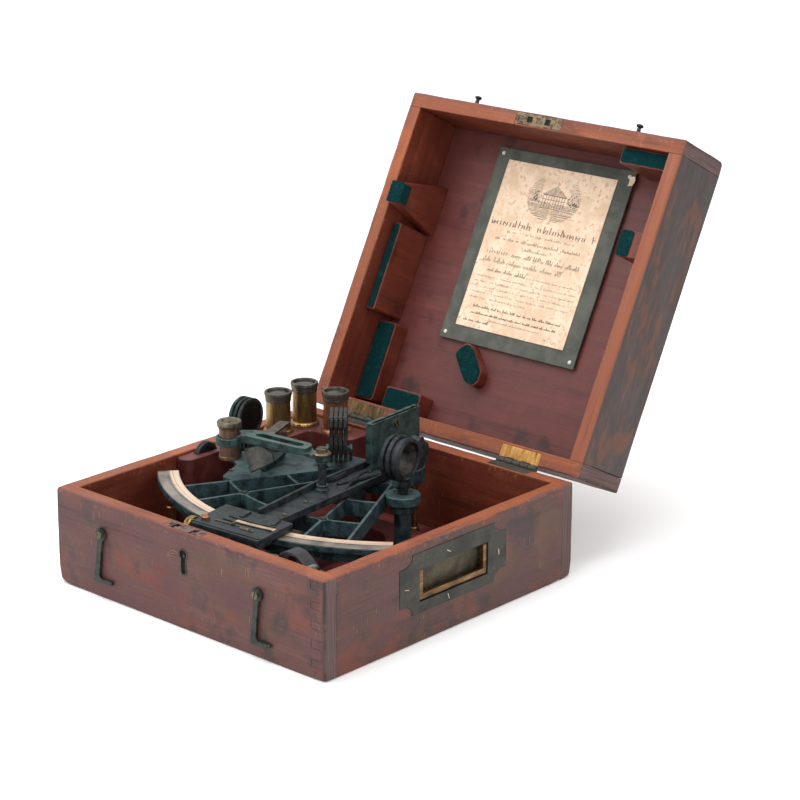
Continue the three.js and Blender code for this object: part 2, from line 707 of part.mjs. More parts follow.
function magnifierArm() {
  const shape = [[0, -5], [16, -11.4], [76, -16.6], [82, -10], [90, -2], [78, 8], [70, -2], [20, 1.6],
    [0, 5]];
  const outer = slab(outline(shape), 98, 101);
  const eye = disc(5.4, 98, 101, 20);
  const ring = shifted(disc(11, 96.5, 102, 24), ringReach, 0);
  const slot = slab(outline([[20, -2.2], [66, -6], [68, -9], [66, -11.6], [20, -7.6], [18, -5]]), 90, 110);
  const pinHole = disc(2.7, 90, 110, 16);
  const tubeHole = shifted(disc(8.6, 90, 110, 24), ringReach, 0);
  return cut(join(outer, eye, ring), slot, pinHole, tubeHole);
}

// A frosted screen that throws soft light on the vernier, hung under the arm.
function diffuserScreen() {
  return frontSlab(outline([[71, 93], [60, 97.7], [54, 97.7], [46, 94], [45, 87.5], [66, 75.5]]), -3.4, -2);
}

function magnifierTube() {
  const profile = [[0, 84], [7.6, 84], [8.3, 85], [8.3, 110.6], [9.6, 111.4], [9.6, 114.7],
    [6, 114.7], [5.4, 113.2], [0, 113.2]];
  return shifted(turned(profile, 24), ringReach, 0);
}

function buildIndexArm(sextant) {
  const arm = new THREE.Group();
  arm.rotation.z = THREE.MathUtils.degToRad(armAngle);
  const { bronze, mirrorGlass, brass, card } = materials;
  piece(arm, 'index_arm', indexArmBody(), bronze);
  piece(arm, 'index_mirror_frame', indexMirrorFrame(), bronze);
  piece(arm, 'index_mirror_glass', box(-2.8, 0.2, -31.5, 21.5, 79, 110), mirrorGlass);
  piece(arm, 'clamp_screw', clampScrew(), brass);
  piece(arm, 'tangent_screw', tangentScrew(), brass);
  const magnifier = new THREE.Group();
  magnifier.position.set(...magnifierPost, 0);
  magnifier.rotation.z = THREE.MathUtils.degToRad(187);
  piece(magnifier, 'magnifier_arm', magnifierArm(), bronze);
  piece(magnifier, 'magnifier_tube', magnifierTube(), brass);
  piece(magnifier, 'diffuser_screen', diffuserScreen(), card);
  arm.add(magnifier);
  sextant.add(arm);
}

function buildSextant() {
  const sextant = new THREE.Group();
  sextant.position.set(...pivot, 0);
  const { bronze, silver, ebony, brass, shadeGlass } = materials;
  const legRadius = 177.7;
  const legAngle = 34;
  piece(sextant, 'sextant_frame', sextantFrame(), bronze);
  const inlay = sector(171.3, 180.5, limbEnds[0], limbEnds[1], plateTop, scaleTop);
  piece(sextant, 'scale_arc', inlay, silver);
  piece(sextant, 'handle_grip', handleGrip(), ebony);
  piece(sextant, 'leg_left', leg(...polar(legRadius, -legAngle), ribBottom), brass);
  piece(sextant, 'leg_right', leg(...polar(legRadius, legAngle), ribBottom), brass);
  piece(sextant, 'leg_apex', leg(0, 20, ribBottom), brass);
  piece(sextant, 'rising_piece', risingPiece(), bronze);
  [-1, 0, 1].forEach((step, i) => {
    piece(sextant, `horizon_shade_${i + 1}`, horizonShade(step * horizonPitch), shadeGlass);
  });
  [-1.5, -0.5, 0.5, 1.5].forEach((step, i) => {
    piece(sextant, `index_shade_${i + 1}`, indexShade(step * indexPitch), shadeGlass);
  });
  buildHorizonMirror(sextant);
  buildIndexArm(sextant);
  return sextant;
}

const model = new THREE.Group();
model.add(buildCase(), buildLid(), buildStowed(), buildSextant());
export default model;
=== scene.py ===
"""The looks of a vernier sextant in its open case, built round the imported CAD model."""
import json
import math
import random

import bmesh
import bpy
from mathutils import Matrix, Vector, noise


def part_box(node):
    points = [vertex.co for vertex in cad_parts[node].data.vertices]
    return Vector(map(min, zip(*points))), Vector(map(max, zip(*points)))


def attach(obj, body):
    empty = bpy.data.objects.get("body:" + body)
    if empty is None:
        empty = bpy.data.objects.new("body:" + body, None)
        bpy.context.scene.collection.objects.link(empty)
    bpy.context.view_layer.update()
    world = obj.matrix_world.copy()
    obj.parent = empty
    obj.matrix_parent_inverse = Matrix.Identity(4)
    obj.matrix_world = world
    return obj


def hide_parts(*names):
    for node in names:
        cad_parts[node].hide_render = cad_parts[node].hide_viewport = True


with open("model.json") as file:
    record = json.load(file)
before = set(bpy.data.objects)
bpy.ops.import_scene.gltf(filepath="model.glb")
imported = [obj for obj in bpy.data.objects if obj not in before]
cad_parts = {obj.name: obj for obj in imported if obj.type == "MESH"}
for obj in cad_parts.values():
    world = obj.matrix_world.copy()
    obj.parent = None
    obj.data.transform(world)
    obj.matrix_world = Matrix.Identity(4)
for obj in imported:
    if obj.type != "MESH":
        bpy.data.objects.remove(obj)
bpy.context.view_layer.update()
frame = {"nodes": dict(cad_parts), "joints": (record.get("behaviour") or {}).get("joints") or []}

MM = 0.001
RANDOM = random.Random(7)
noise.seed_set(7)                  # unseeded, Blender takes the clock
JOINTS = {joint["name"]: joint for joint in frame["joints"]}


# ---------------- places, from the frame ----------------

def mm(vector):
    """A place in metres as one in mm."""
    return Vector(vector) / MM


def joint_place(name):
    return Vector(JOINTS[name]["pos_m"])


def about(point, axis, degrees):
    """A turn about an axis through a point."""
    turn = Matrix.Rotation(math.radians(degrees), 4, Vector(axis))
    return Matrix.Translation(point) @ turn @ Matrix.Translation(-Vector(point))


def heading(way):
    """A direction's angle as seen from above, in degrees from +X."""
    return math.degrees(math.atan2(way.y, way.x))


def from_post(node, post):
    """The direction, seen from above, from a post to the middle of a node, in degrees."""
    low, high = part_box(node)
    way = (low + high) / 2 - post
    return heading(way)


PIVOT = joint_place("index_arm_swing")
PIVOT.z = 0
POST = joint_place("magnifier_swing")
POST.z = 0
ARM_AXIS = JOINTS["tangent_screw_turn"]["axis"]
ARM_ANGLE = math.degrees(math.atan2(ARM_AXIS[1], ARM_AXIS[0]))

CASE = Matrix.Identity(4)
LID = about(joint_place("lid_hinge"), JOINTS["lid_hinge"]["axis"], -JOINTS["lid_hinge"]["range_deg"][0])
SEXTANT = Matrix.Translation(PIVOT)
ARM = SEXTANT @ Matrix.Rotation(math.radians(ARM_ANGLE), 4, "Z")
MAGNIFIER = Matrix.Translation(POST) @ Matrix.Rotation(math.radians(from_post("magnifier_tube", POST)), 4,
                                                       "Z")


def span(node, place=CASE):
    """Lowest and highest corner of a CAD node in the frame of a turned group, in mm."""
    back = place.inverted()
    corners = [back @ vertex.co for vertex in frame["nodes"][node].data.vertices]
    low = Vector([min(corner[i] for corner in corners) for i in range(3)])
    high = Vector([max(corner[i] for corner in corners) for i in range(3)])
    return mm(low), mm(high)


# ---------------- dimensions in mm ----------------

FRONT_LOW, FRONT_HIGH = span("case_front_board")
HALF_X, HALF_Y = FRONT_HIGH.x, -FRONT_LOW.y
WALL = FRONT_HIGH.y - FRONT_LOW.y
INNER_X, INNER_Y = HALF_X - WALL, HALF_Y - WALL
RIM = FRONT_HIGH.z
LID_RIM = span("lid_front_board", LID)[0].z
LID_TOP = span("lid_front_board", LID)[1].z
FINE_EDGE = 0.3                    # the radius of edges at a joint between boards
FELT_DEPTH = 1.0
SLOT_SHARE = 0.22                  # half a screw slot's width as a share of the head's radius
SMOOTH_BELOW = 40                  # faces that meet at less than these degrees shade as one

CATCH_INSETS = (10.3, -10.5)       # the lock's two catches, from the left and right end of its plate
KEYHOLE_SHIFT = 2.5                # the keyhole sits right of the lock's middle
LEAF_WIDTH = 10                    # hinge leaves
LEAF_THICK = 1.6
LEAF_SCREWS = (6, 19.5, 33)        # along a leaf
DISH_LOW = (-38.5, 31)             # the handle pan's recess as (y, z)
DISH_HIGH = (36.5, 56)
JOINT_PINS = 5                     # fingers of a corner joint
JOINT_PITCH = 14.5
SCOPES = ("telescope_front", "telescope_corner", "telescope_back")

LIMB_OUTER = 186.3                 # radii round the pivot
LIMB_INNER = 169.1
INLAY_OUTER = 177.5
INLAY_INNER = 171.3
LIMB_ENDS = (-42.2, 41.6)          # degrees from -Y towards +X
LIMB_DIVISIONS = 3 * 130
RIB_OUTER = [(25.7, -32.5), (87.4, -149.8)]                    # the right-hand ribs, seen from above
RIB_INNER = [(9.5, -47.4), (41.3, -125.7), (56.6, -163.3)]
RIB_LOW = 57
RIB_THICK = 2.4
BOSS = (48, -46)                   # the collar's stem rises here
HORIZON_WING = [(-32.5, -46), (-42, -36), (-56, -34), (-78, -34), (-111, -54), (-111, -76), (-92, -84),
                (-80, -112), (-67, -112)]
SHADE_WING = [(-18, -18), (-22, -6), (-48, -12), (-57, -25), (-33, -42)]
SHADES_OUT = 3.5                   # the index shades sit this far outwards along their pin
SHADE_HEIGHT = 102                 # middle of the horizon shades' glasses
HORIZON_MIRROR = (-71.5, -65, 21.5)    # x, y and its turn in degrees
POST_AT = (-0.5, -91.3)            # the magnifier's post, seen from above
ARM_TOP = 76                       # top of the vernier plate
WEB_LOW, WEB_HIGH = 71, 74         # the index arm's web
FLOOR_GAP = 0.2                    # the floor lies this far under the case
THROUGH = (80, 120)                # heights that cut right through the magnifier's arm


# ---------------- mesh kit: every function gives a bmesh in mm ----------------

def mesh_of(points, faces):
    """A closed body of points and faces, its faces turned outwards."""
    body = bmesh.new()
    vertices = [body.verts.new(point) for point in points]
    for face in faces:
        body.faces.new([vertices[i] for i in face])
    bmesh.ops.recalc_face_normals(body, faces=body.faces)
    return body


def box(low, high):
    body = bmesh.new()
    bmesh.ops.create_cube(body, size=1)
    middle = (Vector(low) + Vector(high)) / 2
    size = Vector(high) - Vector(low)
    for vertex in body.verts:
        vertex.co = middle + Vector([vertex.co[i] * size[i] for i in range(3)])
    return body


def slab(points, low, high):
    """A flat outline given thickness along Z."""
    count = len(points)
    bottom = [(x, y, low) for x, y in points]
    top = [(x, y, high) for x, y in points]
    sides = [(i, (i + 1) % count, count + (i + 1) % count, count + i) for i in range(count)]
    return mesh_of(bottom + top, sides + [tuple(range(count))[::-1], tuple(range(count, 2 * count))])


def frontal(points, near, far):
    """An (x, z) outline with thickness from y = near to y = far."""
    return turned(slab(points, -far, -near), "X", 90)


def sideways(points, near, far):
    """A (y, z) outline with thickness from x = near to x = far."""
    return turned(turned(slab(points, near, far), "X", 90), "Z", 90)


def rounded(points, radius, steps=5):
    """An outline with its corners rounded."""
    result = []
    for i, corner in enumerate(points):
        corner = Vector(corner)
        before = Vector(points[i - 1]) - corner
        after = Vector(points[(i + 1) % len(points)]) - corner
        reach = min(radius, before.length * 0.45, after.length * 0.45)
        start = corner + before.normalized() * reach
        end = corner + after.normalized() * reach
        for k in range(steps + 1):
            t = k / steps
            point = start * (1 - t) ** 2 + corner * 2 * t * (1 - t) + end * t * t
            result.append((point.x, point.y))
    return result


def arc(centre, radius, start, end, steps=16):
    """Points on a circle, angles in degrees from +X."""
    angles = [math.radians(start + (end - start) * i / steps) for i in range(steps + 1)]
    return [(centre[0] + radius * math.cos(angle), centre[1] + radius * math.sin(angle))
            for angle in angles]


def lathe(profile, segments=48, ridge=None):
    """A body turned about Z from (radius, z) points that start and end on the axis.
    ridge = (low, high, depth) cuts knurls into that stretch of Z."""
    points = []
    rings = []
    for radius, z in profile:
        if radius < 1e-6:
            rings.append([len(points)])
            points.append((0, 0, z))
            continue
        rings.append(list(range(len(points), len(points) + segments)))
        for i in range(segments):
            cut = ridge[2] if ridge and ridge[0] <= z <= ridge[1] and i % 2 else 0
            angle = 2 * math.pi * i / segments
            points.append(((radius - cut) * math.cos(angle), (radius - cut) * math.sin(angle), z))
    faces = []
    for first, second in zip(rings, rings[1:]):
        for i in range(segments):
            j = (i + 1) % segments
            if len(first) == 1 and len(second) > 1:
                faces.append((first[0], second[j], second[i]))
            elif len(second) == 1 and len(first) > 1:
                faces.append((first[i], first[j], second[0]))
            elif len(first) > 1:
                faces.append((first[i], first[j], second[j], second[i]))
    return mesh_of(points, faces)


def rod(radius, low, high, segments):
    """A plain cylinder about Z."""
    return lathe([(0, low), (radius, low), (radius, high), (0, high)], segments)


def hoop(profile, segments=64, ridge=None):
    """A ring: a closed (radius, z) profile turned about Z.
    ridge = (low, high, depth, inner) cuts knurls into that stretch of Z, outside the inner radius."""
    count = len(profile)
    points = []
    for i in range(segments):
        angle = 2 * math.pi * i / segments
        for radius, z in profile:
            cut = ridge[2] if ridge and ridge[0] <= z <= ridge[1] and i % 2 and radius > ridge[3] else 0
            points.append(((radius - cut) * math.cos(angle), (radius - cut) * math.sin(angle), z))
    faces = []
    for i in range(segments):
        here, there = i * count, (i + 1) % segments * count
        faces += [(here + k, here + (k + 1) % count, there + (k + 1) % count, there + k)
                  for k in range(count)]
    return mesh_of(points, faces)


def ring(inner, outer, low, high, segments, ease):
    """A washer with eased edges."""
    profile = [(inner, low + ease), (inner + ease, low), (outer - ease, low), (outer, low + ease),
               (outer, high - ease), (outer - ease, high), (inner + ease, high), (inner, high - ease)]
    return hoop(profile, segments)


def sweep(path, radius, sides, flat=1.0):
    """A round or flattened bar along a path of points."""
    path = [Vector(point) for point in path]
    points = []
    for i, place in enumerate(path):
        way = (path[min(i + 1, len(path) - 1)] - path[max(i - 1, 0)]).normalized()
        side = way.orthogonal() if abs(way.z) > 0.95 else way.cross(Vector((0, 0, 1)))
        side.normalize()
        up = side.cross(way).normalized()
        for k in range(sides):
            angle = 2 * math.pi * (k + 0.5) / sides
            points.append(place + side * radius * math.cos(angle) + up * radius * flat * math.sin(angle))
    faces = [tuple(range(sides))[::-1], tuple(range(len(points) - sides, len(points)))]
    for i in range(len(path) - 1):
        for k in range(sides):
            j = (k + 1) % sides
            faces.append((i * sides + k, i * sides + j, (i + 1) * sides + j, (i + 1) * sides + k))
    return mesh_of(points, faces)


def moved(body, x, y=0, z=0):
    """Shifts a body, and gives it back."""
    bmesh.ops.translate(body, verts=body.verts, vec=(x, y, z))
    return body


def turned(body, axis, degrees):
    """Turns a body about an axis through the origin, and gives it back."""
    bmesh.ops.transform(body, matrix=Matrix.Rotation(math.radians(degrees), 4, axis), verts=body.verts)
    return body


def aimed(body, direction, place=(0, 0, 0)):
    """Lays a body that was made along +Z along a direction, then moves it."""
    turn = Vector((0, 0, 1)).rotation_difference(Vector(direction)).to_matrix().to_4x4()
    bmesh.ops.transform(body, matrix=Matrix.Translation(place) @ turn, verts=body.verts)
    return body


def merged(bodies):
    """Several bodies as one, without joining their surfaces."""
    whole = bmesh.new()
    for body in bodies:
        mesh = bpy.data.meshes.new("part")
        body.to_mesh(mesh)
        whole.from_mesh(mesh)
        bpy.data.meshes.remove(mesh)
    return whole


def cad(node, place):
    """The CAD node's own faces, welded and cleared of needless edges, in a group's frame."""
    body = bmesh.new()
    body.from_mesh(frame["nodes"][node].data)
    bmesh.ops.transform(body, matrix=Matrix.Scale(1 / MM, 4) @ place.inverted(), verts=body.verts)
    bmesh.ops.remove_doubles(body, verts=body.verts, dist=0.002)
    bmesh.ops.dissolve_limit(body, angle_limit=math.radians(1), verts=body.verts, edges=body.edges)
    return body


def weathered(body, amount, scale):
    """Shifts points by a smooth noise, so that edges aren't dead straight."""
    for vertex in body.verts:
        vertex.co += noise.noise_vector(vertex.co * scale) * amount
    return body


def divided(body, step):
    """Cuts a body across at even steps, so that it can be weathered."""
    for axis in range(3):
        normal = Vector([float(i == axis) for i in range(3)])
        low = min(vertex.co[axis] for vertex in body.verts)
        high = max(vertex.co[axis] for vertex in body.verts)
        count = int((high - low) / step)
        for i in range(1, count):
            everything = body.verts[:] + body.edges[:] + body.faces[:]
            bmesh.ops.bisect_plane(body, geom=everything,
                                   plane_co=normal * (low + (high - low) * i / count), plane_no=normal)
    return body


def boolean(base, tools, operation="DIFFERENCE"):
    """Cuts tools from a body, or joins them to it."""
    objects = []
    for body in [base, *tools]:
        mesh = bpy.data.meshes.new("boolean")
        body.to_mesh(mesh)
        objects.append(bpy.data.objects.new("boolean", mesh))
        bpy.context.scene.collection.objects.link(objects[-1])
    for tool in objects[1:]:
        modifier = objects[0].modifiers.new("cut", "BOOLEAN")
        modifier.operation = operation
        modifier.solver = "MANIFOLD"
        modifier.object = tool
    result = bmesh.new()
    result.from_object(objects[0], bpy.context.evaluated_depsgraph_get())
    for thing in objects:
        mesh = thing.data
        bpy.data.objects.remove(thing)
        bpy.data.meshes.remove(mesh)
    return result


def eased(body, width, segments=2, angle=32, fine=None):
    """Rounds the sharp edges. fine(middle) picks the edges that keep a small radius."""
    body.normal_update()
    sharp = [edge for edge in body.edges
             if len(edge.link_faces) == 2 and edge.calc_face_angle() > math.radians(angle)]
    small = [edge for edge in sharp if fine and fine((edge.verts[0].co + edge.verts[1].co) / 2)]
    large = [edge for edge in sharp if edge not in set(small)]
    for edges, radius, steps in ((large, width, segments), (small, FINE_EDGE, 1)):
        edges = [edge for edge in edges if edge.is_valid]
        if edges:
            bmesh.ops.bevel(body, geom=edges, offset=radius, offset_type="OFFSET", segments=steps,
                            profile=0.5, affect="EDGES", clamp_overlap=True, miter_outer="ARC")
    return body


def piece(name, body, place, rides, material, nodes=()):
    """Makes one finished object of a bmesh (or several): smooth shading, material and body."""
    if isinstance(body, (list, tuple)):
        body = merged(body)
    bmesh.ops.scale(body, vec=(MM, MM, MM), verts=body.verts)
    mesh = bpy.data.meshes.new(name)
    body.to_mesh(mesh)
    body.free()
    thing = bpy.data.objects.new(name, mesh)
    bpy.context.scene.collection.objects.link(thing)
    mesh.shade_smooth()
    mesh.set_sharp_from_angle(angle=math.radians(SMOOTH_BELOW))
    modifier = thing.modifiers.new("normals", "WEIGHTED_NORMAL")
    modifier.keep_sharp = True
    thing.data = bpy.data.meshes.new_from_object(thing.evaluated_get(bpy.context.evaluated_depsgraph_get()))
    thing.modifiers.clear()
    bpy.data.meshes.remove(mesh)
    thing.data.name = name
    thing.data.materials.clear()
    thing.data.materials.append(material)
    thing.matrix_world = place
    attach(thing, rides)
    if nodes:
        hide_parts(*nodes)
    return thing


# ---------------- materials ----------------

def rgb(red, green, blue):
    """A colour as it is seen, from 0 to 255, as the linear values that shaders take."""
    def linear(value):
        value /= 255
        return value / 12.92 if value <= 0.04045 else ((value + 0.055) / 1.055) ** 2.4
    return (linear(red), linear(green), linear(blue), 1.0)


class Look:
    """A material being made. Each method adds a node and gives its output. Lengths are in mm."""

    def __init__(self, name):
        self.material = bpy.data.materials.new(name)
        self.material.use_nodes = True
        self.tree = self.material.node_tree
        self.shader = self.tree.nodes["Principled BSDF"]
        self.place = self.node("ShaderNodeTexCoord").outputs["Object"]

    def node(self, kind, values=None, **settings):
        made = self.tree.nodes.new(kind)
        for key, value in settings.items():
            setattr(made, key, value)
        for key, value in (values or {}).items():
            self.put(made.inputs[key], value)
        return made

    def put(self, socket, value):
        if isinstance(value, bpy.types.NodeSocket):
            self.tree.links.new(value, socket)
        else:
            socket.default_value = value

    def math(self, operation, first, second=0.0):
        return self.node("ShaderNodeMath", {0: first, 1: second}, operation=operation).outputs[0]

    def axis(self, name):
        """One of the object coordinates, in mm."""
        split = self.node("ShaderNodeSeparateXYZ", {0: self.place})
        return self.math("MULTIPLY", split.outputs[name], 1 / MM)

    def stretched(self, sizes, seed):
        """Object coordinates divided by the feature size along each axis, in mm."""
        scale = tuple(1 / (size * MM) for size in sizes)
        grown = self.node("ShaderNodeVectorMath", {0: self.place, 1: scale}, operation="MULTIPLY")
        return self.node("ShaderNodeVectorMath", {0: grown.outputs[0], 1: (seed, seed * 1.7, seed * 0.6)},
                         operation="ADD").outputs[0]

    def noise(self, sizes, seed, detail=2.0, roughness=0.5, distortion=0.0):
        if not isinstance(sizes, tuple):
            sizes = (sizes, sizes, sizes)
        values = {"Vector": self.stretched(sizes, seed), "Scale": 1.0, "Detail": detail,
                  "Roughness": roughness, "Distortion": distortion}
        return self.node("ShaderNodeTexNoise", values).outputs["Fac"]

    def fade(self, value, low, high, start=0.0, end=1.0):
        """Goes smoothly from start to end as value goes from low to high."""
        values = {0: value, 1: low, 2: high, 3: start, 4: end}
        return self.node("ShaderNodeMapRange", values, interpolation_type="SMOOTHSTEP").outputs[0]

    def mix(self, first, second, factor):
        values = {0: factor, 6: first, 7: second}
        return self.node("ShaderNodeMix", values, data_type="RGBA", clamp_factor=True).outputs[2]

    def bump(self, height, depth, under=None):
        """Relief of a height from 0 to 1, depth in mm."""
        values = {"Strength": 1.0, "Distance": depth * MM, "Height": height}
        if under:
            values["Normal"] = under
        return self.node("ShaderNodeBump", values).outputs[0]

    def done(self, color, roughness, normal=None, metallic=0.0, **others):
        self.put(self.shader.inputs["Base Color"], color)
        self.put(self.shader.inputs["Roughness"], roughness)
        self.shader.inputs["Metallic"].default_value = metallic
        if normal:
            self.put(self.shader.inputs["Normal"], normal)
        for key, value in others.items():
            self.shader.inputs[key.replace("_", " ")].default_value = value
        return self.material


WOOD_TONES = {                     # dark vein, body, light fibre
    "outer": (rgb(60, 35, 35), rgb(98, 60, 56), rgb(120, 78, 70)),
    "shaded": (rgb(48, 29, 26), rgb(86, 54, 46), rgb(108, 72, 58)),
    "rim": (rgb(92, 46, 28), rgb(136, 72, 44), rgb(162, 94, 60)),
    "inner": (rgb(66, 25, 17), rgb(102, 43, 27), rgb(128, 62, 40)),
    "panel": (rgb(70, 29, 27), rgb(96, 44, 39), rgb(114, 58, 50)),
    "grip": (rgb(24, 11, 9), rgb(58, 26, 20), rgb(84, 40, 28)),
    "block": (rgb(48, 17, 16), rgb(92, 40, 36), rgb(114, 58, 50)),
}


def stretch(along, long, thin):
    """Feature sizes that are long along one axis."""
    return tuple(long if axis == along else thin for axis in "XYZ")


def grain(look, along, seed):
    """Fibres and broader bands along one axis, from 0 to 1."""
    bands = look.noise(stretch(along, 190, 9), seed, detail=3, distortion=0.6)
    fibres = look.noise(stretch(along, 26, 0.45), seed + 3, detail=3, roughness=0.7)
    streaks = look.noise(stretch(along, 60, 2.2), seed + 7, detail=2)
    both = look.math("ADD", look.math("MULTIPLY", bands, 0.5), look.math("MULTIPLY", fibres, 0.25))
    return look.math("ADD", both, look.math("MULTIPLY", streaks, 0.25)), fibres


def wood_color(look, tones, value):
    """Dark vein, body and light fibre by a value from 0 to 1."""
    dark, body, light = tones
    deep = look.mix(dark, body, look.fade(value, 0.3, 0.5))
    return look.mix(deep, light, look.fade(value, 0.5, 0.74))


def scratches(look, along, seed):
    """Fine pale marks along one axis, here and there, from 0 to 1."""
    marks = look.noise(stretch(along, 13, 0.5), seed, detail=1)
    places = look.noise(30, seed + 1, detail=1)
    return look.math("MULTIPLY", look.fade(marks, 0.73, 0.76), look.fade(places, 0.5, 0.6))


def board_wood(name, along, seed, rim_height, outside="outer"):
    """Wood of a case board: handled and grey outside, orange on the worn rim, red inside."""
    look = Look(name)
    value, fibres = grain(look, along, seed)
    x = look.math("SUBTRACT", look.math("ABSOLUTE", look.axis("X")), INNER_X)
    y = look.math("SUBTRACT", look.math("ABSOLUTE", look.axis("Y")), INNER_Y)
    depth = look.math("MAXIMUM", x, y)
    outer_corner = look.math("MINIMUM", x, y)
    handled = look.noise(38, seed + 11, detail=4, roughness=0.6)
    reddish = look.noise((60, 60, 34), seed + 17, detail=4, roughness=0.65)
    olive = look.noise(52, seed + 19, detail=4, roughness=0.62)
    speckle = look.noise(1.5, seed + 29, detail=2, roughness=0.7)
    outer = wood_color(look, WOOD_TONES[outside], value)
    outer = look.mix(outer, rgb(94, 65, 69), look.fade(handled, 0.46, 0.62, 0, 0.6))
    outer = look.mix(outer, rgb(122, 58, 40), look.fade(reddish, 0.52, 0.64, 0, 0.65))
    outer = look.mix(outer, rgb(96, 70, 50), look.fade(olive, 0.54, 0.66, 0, 0.6))
    outer = look.mix(outer, rgb(46, 30, 34), look.fade(handled, 0.47, 0.32, 0, 0.75))
    outer = look.mix(outer, rgb(134, 98, 84), look.fade(speckle, 0.58, 0.72, 0, 0.22))
    outer = look.mix(outer, rgb(44, 28, 28), look.fade(speckle, 0.4, 0.26, 0, 0.35))
    if along == "X":
        end = look.fade(look.math("ABSOLUTE", look.axis("X")), HALF_X - 1.4, HALF_X - 0.6)
        end_grain = look.mix(rgb(72, 52, 49), rgb(98, 76, 72),
                             look.fade(look.noise(stretch("Z", 40, 0.8), seed + 33), 0.35, 0.65))
        outer = look.mix(outer, end_grain, look.math("MULTIPLY", end, 0.9))
    edge = look.fade(outer_corner, WALL - 3.5, WALL - 0.6)
    outer = look.mix(outer, rgb(52, 32, 29), look.math("MULTIPLY", edge, look.fade(reddish, 0.38, 0.52)))
    outer = look.mix(outer, rgb(32, 12, 10), 0.13)
    inner = wood_color(look, WOOD_TONES["inner"], value)
    inner = look.mix(inner, rgb(150, 70, 34), look.fade(handled, 0.5, 0.75, 0, 0.4))
    rim = wood_color(look, WOOD_TONES["rim"], value)
    rim = look.mix(rim, rgb(96, 56, 44), look.fade(handled, 0.52, 0.68, 0, 0.6))
    color = look.mix(inner, outer, look.fade(depth, 4, 8))
    worn_rim = look.mix(rim, rgb(112, 66, 56), look.math("MULTIPLY", look.fade(depth, 6.5, 11.5),
                                                         look.fade(olive, 0.36, 0.56)))
    rim = look.mix(worn_rim, rgb(176, 92, 52), look.fade(reddish, 0.54, 0.7, 0, 0.6))
    from_rim = look.math("ABSOLUTE", look.math("SUBTRACT", look.axis("Z"), rim_height))
    ragged = look.math("ADD", from_rim, look.fade(look.noise(9, seed + 5, detail=4), 0.3, 0.7, -0.5, 0.7))
    color = look.mix(color, rim, look.fade(ragged, 2.0, 0.7))
    nicked = look.math("MULTIPLY", look.fade(from_rim, 9, 1),
                       look.fade(look.noise(3.5, seed + 6, detail=3), 0.6, 0.66))
    color = look.mix(color, rgb(150, 92, 66), look.math("MULTIPLY", nicked, 0.6))
    pale = scratches(look, "Z", seed + 23)
    color = look.mix(color, rgb(196, 150, 122), look.math("MULTIPLY", pale, 0.7))
    pits = look.fade(look.noise(1.6, seed + 31, detail=1), 0.74, 0.8)
    color = look.mix(color, rgb(38, 20, 18), look.math("MULTIPLY", pits, 0.8))
    rough = look.fade(handled, 0.3, 0.7, 0.42, 0.66)
    normal = look.bump(look.math("SUBTRACT", fibres, pale), 0.22)
    return look.done(color, rough, look.bump(handled, 0.8, normal), Specular_IOR_Level=0.4)


def fitting_wood(name, along, seed, tones="block", worn=rgb(140, 84, 70), rough=(0.35, 0.6)):
    """Wood of the blocks, keepers and panels inside the case."""
    look = Look(name)
    value, fibres = grain(look, along, seed)
    pale_patches = look.noise(26, seed + 4, detail=4)
    color = wood_color(look, WOOD_TONES[tones], value)
    color = look.mix(color, worn, look.fade(pale_patches, 0.5, 0.72, 0, 0.5))
    color = look.mix(color, rgb(36, 16, 14), look.fade(pale_patches, 0.44, 0.28, 0, 0.7))
    specks = look.fade(look.noise(1.1, seed + 9, detail=1), 0.76, 0.8)
    color = look.mix(color, rgb(170, 120, 100), look.math("MULTIPLY", specks, 0.6))
    return look.done(color, look.fade(pale_patches, 0.3, 0.7, *rough), look.bump(fibres, 0.15))


def burr_wood(name, seed):
    """The lid's right side: almost black old polish, worn through to brown in clouds."""
    look = Look(name)
    value, fibres = grain(look, "Y", seed)
    clouds = look.noise((40, 46, 24), seed + 2, detail=5, roughness=0.55, distortion=0.5)
    broken = look.noise((9, 26, 7), seed + 4, detail=4, roughness=0.6)
    both = look.math("ADD", look.math("MULTIPLY", clouds, 0.65), look.math("MULTIPLY", broken, 0.35))
    color = wood_color(look, (rgb(34, 20, 18), rgb(54, 33, 27), rgb(76, 48, 36)), value)
    color = look.mix(color, rgb(96, 54, 34), look.fade(both, 0.48, 0.58, 0, 0.8))
    color = look.mix(color, rgb(30, 19, 19), look.fade(both, 0.5, 0.4, 0, 0.85))
    from_middle = look.math("ABSOLUTE", look.math("SUBTRACT", look.axis("Z"), (LID_RIM + LID_TOP) / 2))
    half_height = (LID_TOP - LID_RIM) / 2
    handled_edge = look.fade(look.math("ADD", from_middle, look.math("MULTIPLY", broken, 9)),
                             half_height - 2, half_height + 3)
    color = look.mix(color, rgb(42, 32, 31), look.math("MULTIPLY", handled_edge, 0.8))
    x = look.math("SUBTRACT", look.math("ABSOLUTE", look.axis("X")), INNER_X)
    color = look.mix(wood_color(look, WOOD_TONES["inner"], value), color, look.fade(x, 4, 8))
    from_rim = look.math("ABSOLUTE", look.math("SUBTRACT", look.axis("Z"), LID_RIM))
    color = look.mix(color, wood_color(look, WOOD_TONES["rim"], value), look.fade(from_rim, 2.0, 0.8))
    pale = scratches(look, "Y", seed + 23)
    color = look.mix(color, rgb(150, 108, 84), look.math("MULTIPLY", pale, 0.7))
    rough = look.fade(clouds, 0.3, 0.7, 0.36, 0.6)
    return look.done(color, rough, look.bump(fibres, 0.15, look.bump(clouds, 0.5)))


